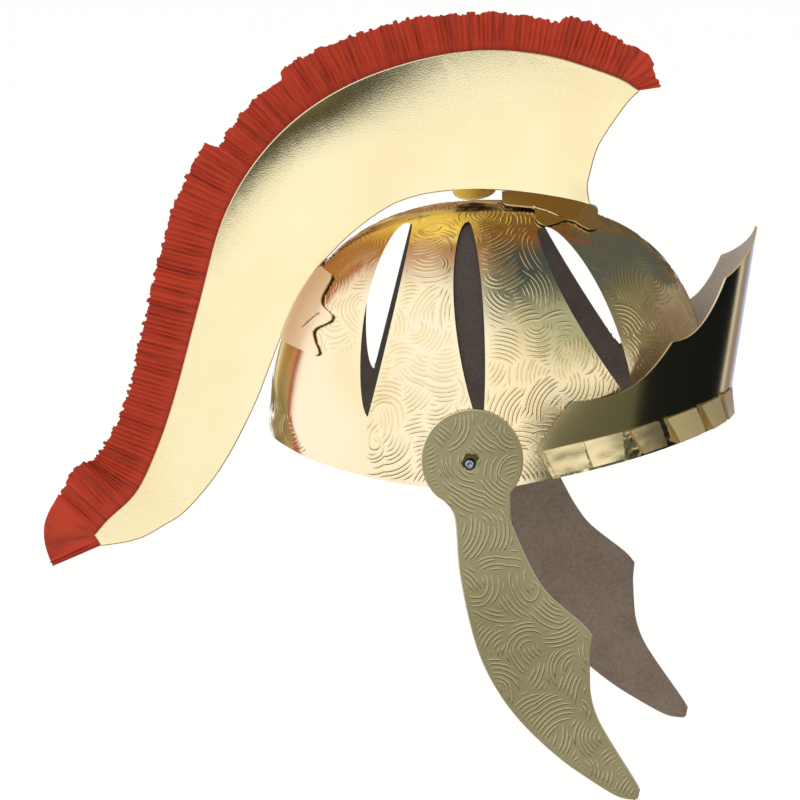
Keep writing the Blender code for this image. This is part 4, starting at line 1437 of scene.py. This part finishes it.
def crepe(name):
    """Dull paper with fine creases that run up from the crest's edge."""
    material = bpy.data.materials.new(name)
    material.use_nodes = True
    tree = material.node_tree
    shader = tree.nodes["Principled BSDF"]
    thread = Thread(tree)
    place = thread.node("ShaderNodeUVMap", {"uv_map": "along_and_up"})
    stretched = thread.node("ShaderNodeMapping", None, {"Vector": place, "Scale": (1.0, 0.06, 1.0)})
    crinkle = thread.node("ShaderNodeTexNoise", None,
                          {"Vector": stretched, "Scale": 1400.0, "Detail": 3.0})
    streak = thread.node("ShaderNodeTexNoise", None,
                         {"Vector": stretched, "Scale": 420.0, "Detail": 4.0})
    tone = (crinkle * 0.35 + streak * 0.65).ease(0.28, 0.56).blend(CREPE_DEEP, CREPE_COLOUR)
    bump = thread.node("ShaderNodeBump", None,
                       {"Strength": 1.0, "Distance": 0.0003, "Height": crinkle})
    tree.links.new(tone.socket, shader.inputs["Base Color"])
    tree.links.new(bump.socket, shader.inputs["Normal"])
    shader.inputs["Roughness"].default_value = 0.8
    return material


def plume_line(edge, step):
    """Even places along the crest's edge, with the way the paper points and how far it stands."""
    lengths = [0.0]
    for a, b in zip(edge, edge[1:]):
        lengths.append(lengths[-1] + (b - a).length)
    count = ceil(lengths[-1] / step)
    places = []
    index = 0
    for i in range(count + 1):
        wanted = lengths[-1] * i / count
        while index < len(edge) - 2 and lengths[index + 1] < wanted:
            index += 1
        share = (wanted - lengths[index]) / (lengths[index + 1] - lengths[index])
        places.append((edge[index].lerp(edge[index + 1], share), wanted / lengths[-1]))
    spots = [spot for spot, _ in places]
    line = []
    for i, (spot, share) in enumerate(places):
        along = spots[min(i + PLUME_REACH, count)] - spots[max(i - PLUME_REACH, 0)]
        normal = Vector((-along.y, along.x)).normalized()
        fan = (TAIL_FAN * max(1 - share / PLUME_FAN_SHARE, 0)
               - BROW_FAN * max(1 - (1 - share) / PLUME_FAN_SHARE, 0))
        way = Vector((normal.x * cos(fan) - normal.y * sin(fan),
                      normal.x * sin(fan) + normal.y * cos(fan)))
        taper = min(1, min(share, 1 - share) / PLUME_ROOT_TAPER + PLUME_END_ROOT)
        line.append({"spot": spot, "normal": normal, "way": way, "share": share,
                     "root": PLUME_ROOT * taper,
                     "proud": PLUME_PROUD * from_rows(PLUME_EDGE, share)})
    return line


def make_plume():
    """One thin pleated sheet that stands out of the crest's edge between the boards."""
    line = plume_line(crest_edge, PLUME_PLEAT / PLUME_PER_PLEAT)
    shape = bmesh.new()
    up_map = shape.loops.layers.uv.new("along_and_up")
    grids = []
    for face in (1, -1):
        grid = []
        for row in range(PLUME_ROWS + 1):
            points = []
            for i, place in enumerate(line):
                rise = (row - PLUME_HELD_ROWS) / (PLUME_ROWS - PLUME_HELD_ROWS)
                along = i * PLUME_PLEAT / PLUME_PER_PLEAT
                phase = 2 * pi * i / PLUME_PER_PLEAT
                phase += PLEAT_DRIFT * noise.noise(Vector((along * PLEAT_DRIFT_SCALE, 0, 0)))
                ragged = noise.cell(Vector((along * SNIP_SCALE, 3.3, 0))) - 0.5
                ragged += FRAY * noise.noise(Vector((along * FRAY_SCALE, 1.3, 0)))
                tip = place["proud"] + PLUME_RAGGED * ragged
                if rise <= 0:
                    depth = place["root"] * rise * (PLUME_ROWS - PLUME_HELD_ROWS) / PLUME_HELD_ROWS
                    spot = place["spot"] + place["normal"] * depth
                    y = 0.0
                else:
                    spot = place["spot"] + place["way"] * tip * rise
                    wave = noise.noise(Vector((along * WAVE_SCALE + rise * 0.6, 7.7, 0)))
                    y = (PLUME_SWING * min(rise * 3, 1) * (1 - 0.3 * rise) * sin(phase)
                         + PLUME_WAVE * rise * wave)
                points.append(shape.verts.new((spot.x, y + face * PLUME_SHEET / 2, spot.y)))
            grid.append(points)
        grids.append(grid)
    count = len(line)
    for grid in grids:
        for row in range(PLUME_ROWS):
            for i in range(count - 1):
                face = shape.faces.new((grid[row][i], grid[row][i + 1],
                                        grid[row + 1][i + 1], grid[row + 1][i]))
                spots = ((i, row), (i + 1, row), (i + 1, row + 1), (i, row + 1))
                for loop, (along, up) in zip(face.loops, spots):
                    loop[up_map].uv = (along * PLUME_PLEAT / PLUME_PER_PLEAT,
                                       up * PLUME_PROUD / PLUME_ROWS)
    border = list(zip(*(grid_border(grid) for grid in grids)))
    for (a, a_back), (b, b_back) in zip(border, border[1:] + border[:1]):
        shape.faces.new((a, b, b_back, a_back))
    bmesh.ops.recalc_face_normals(shape, faces=shape.faces)
    mesh = bpy.data.meshes.new("plume_crepe")
    shape.to_mesh(mesh)
    shape.free()
    mesh.shade_smooth()
    mesh.set_sharp_from_angle(angle=radians(60))
    return add_piece("plume_crepe", mesh, red_crepe)


red_crepe = crepe("red_crepe_paper")
plume = make_plume()
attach(plume, "helmet")
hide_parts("plume")


# Cheek guards: flat cards of embossed foil, raw inside, each hung on one rivet.
GUARD_GRAIN = 0.0030
GUARD_MARGIN = 0.0011
GUARD_RIVET_PLAIN = 0.0036
GUARD_FINE_STEPS = 4
GUARD_STARTS = 6000
GUARD_COLOUR = (0.345, 0.30, 0.155)
GUARD_SHADE = (0.27, 0.23, 0.112)
# The guards' raised lines wear a lighter copy of their foil: painted highlight along the lines.
OLIVE_LINE_PAINTED_HIGHLIGHT = (0.47, 0.415, 0.23)
OLIVE_LINE_PAINTED_HIGHLIGHT_MOTTLE = (0.38, 0.325, 0.17)


def guard_bend(_):
    """The guards are flat, so no spot of them stands out of their plane."""
    return 0.0


def guard_swirls(name, loops, face_y, way):
    """Pressed lines over a guard's face, clear of its edge and its hole."""
    outline = inset_loop(loops[0], GUARD_MARGIN)
    hole = sum(loops[1], Vector((0, 0))) / len(loops[1])
    xs, zs = [spot.x for spot in outline], [spot.y for spot in outline]
    deal = random.Random(5)
    starts = [Vector((deal.uniform(min(xs), max(xs)), face_y, deal.uniform(min(zs), max(zs))))
              for _ in range(GUARD_STARTS)]

    def settle(spot):
        return Vector((spot.x, face_y, spot.z)), Vector((0, -way, 0))

    def allowed(spot):
        place = Vector((spot.x, spot.z))
        clear = (place - hole).length > GUARD_RIVET_PLAIN
        return clear and inside_loop(outline, spot.x, spot.z)

    return press_lines(name, trace_swirls(starts, settle, allowed), olive_line_painted_highlight_foil)


guard_foil = foil("embossed_olive_foil", GUARD_COLOUR, GUARD_SHADE, 0.22, 0.00004, 900.0)
olive_line_painted_highlight_foil = foil("raised_olive_foil_painted_highlight", OLIVE_LINE_PAINTED_HIGHLIGHT, OLIVE_LINE_PAINTED_HIGHLIGHT_MOTTLE, 0.25, 0.00004, 900.0)
# The guards' raw backs are a darker brown copy of the raw card: painted shade on the sides that face
# in.
guard_back_painted_shade = raw_card("raw_card_guard_painted_shade", (0.165, 0.118, 0.084), (0.25, 0.188, 0.142))
for side_name, side in SIDES.items():
    node = "cheek_guard_" + side_name
    low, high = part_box(node)
    face_y, back_y = (low.y, high.y) if side < 0 else (high.y, low.y)
    guard_loops = [smoothed_loop(loop, GUARD_FINE_STEPS) for loop in flat_loops(node, face_y)]
    guard = card_plate("guard_foil_" + side_name, guard_loops, face_y, back_y,
                       GUARD_GRAIN, CREST_ROLL, CREST_ROLL_DEPTH, guard_bend,
                       (guard_foil, guard_back_painted_shade, card_edge, card_edge))
    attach(guard, "cheek_" + side_name)
    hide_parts(node)
    lines = guard_swirls("guard_swirls_" + side_name, guard_loops, face_y,
                         1 if back_y > face_y else -1)
    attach(lines, "cheek_" + side_name)


# Inner strap: a plain card strap glued inside the crown over the top; the frame's own solid. Its
# card is near black: painted shade for the inside of the crown.
strap_card_painted_shade = raw_card("raw_card_strap_painted_shade", (0.040, 0.030, 0.025), (0.070, 0.054, 0.045))
strap = frame["nodes"]["inner_strap"]
strap.data.materials.clear()
strap.data.materials.append(strap_card_painted_shade)


# Rivets: a small blued steel fastener through each guard, with a dimpled head outside and a
# flat foot inside the crown.
RIVET_SEGMENTS = 40
RIVET_FOOT_DEPTH = 0.5
RIVET_HEAD_DEPTH = 1.0
RIVET_HEAD = ((1.50, 0.00), (2.40, 0.00), (2.42, 0.15), (2.30, 0.55), (1.95, 0.85), (1.45, 1.00),
              (1.10, 0.92), (0.85, 0.62), (0.55, 0.50), (0.0, 0.48))
RIVET_FOOT = ((0.0, 0.50), (2.60, 0.50), (3.40, 0.30), (3.50, 0.00), (1.50, 0.00))


def make_rivet(side_name, side):
    """Turned about Y from rows of radius and depth in millimetres."""
    x, _, z = PIVOTS[side_name]
    low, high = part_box("rivet_" + side_name)
    inner, outer = sorted((abs(low.y), abs(high.y)))
    profile = [(radius, inner * 1000 + RIVET_FOOT_DEPTH - depth) for radius, depth in RIVET_FOOT]
    profile += [(radius, outer * 1000 - RIVET_HEAD_DEPTH + depth) for radius, depth in RIVET_HEAD]
    shape = bmesh.new()
    rings = []
    for radius, out in profile:
        if radius == 0:
            rings.append([shape.verts.new((x, side * out / 1000, z))])
            continue
        rings.append([shape.verts.new((x + radius / 1000 * cos(2 * pi * i / RIVET_SEGMENTS),
                                       side * out / 1000,
                                       z + radius / 1000 * sin(2 * pi * i / RIVET_SEGMENTS)))
                      for i in range(RIVET_SEGMENTS)])
    for ring, following in zip(rings, rings[1:]):
        for i in range(RIVET_SEGMENTS):
            j = (i + 1) % RIVET_SEGMENTS
            corners = [ring[i % len(ring)], ring[j % len(ring)],
                       following[j % len(following)], following[i % len(following)]]
            shape.faces.new(list(dict.fromkeys(corners)))
    bmesh.ops.recalc_face_normals(shape, faces=shape.faces)
    mesh = bpy.data.meshes.new("rivet_steel_" + side_name)
    shape.to_mesh(mesh)
    shape.free()
    mesh.shade_smooth()
    mesh.set_sharp_from_angle(angle=radians(40))
    return add_piece("rivet_steel_" + side_name, mesh, steel)


steel = foil("blued_steel", (0.36, 0.44, 0.56), (0.20, 0.27, 0.40), 0.28, 0.00002, 900.0)
for side_name, side in SIDES.items():
    rivet = make_rivet(side_name, side)
    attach(rivet, "helmet")
    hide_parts("rivet_" + side_name)
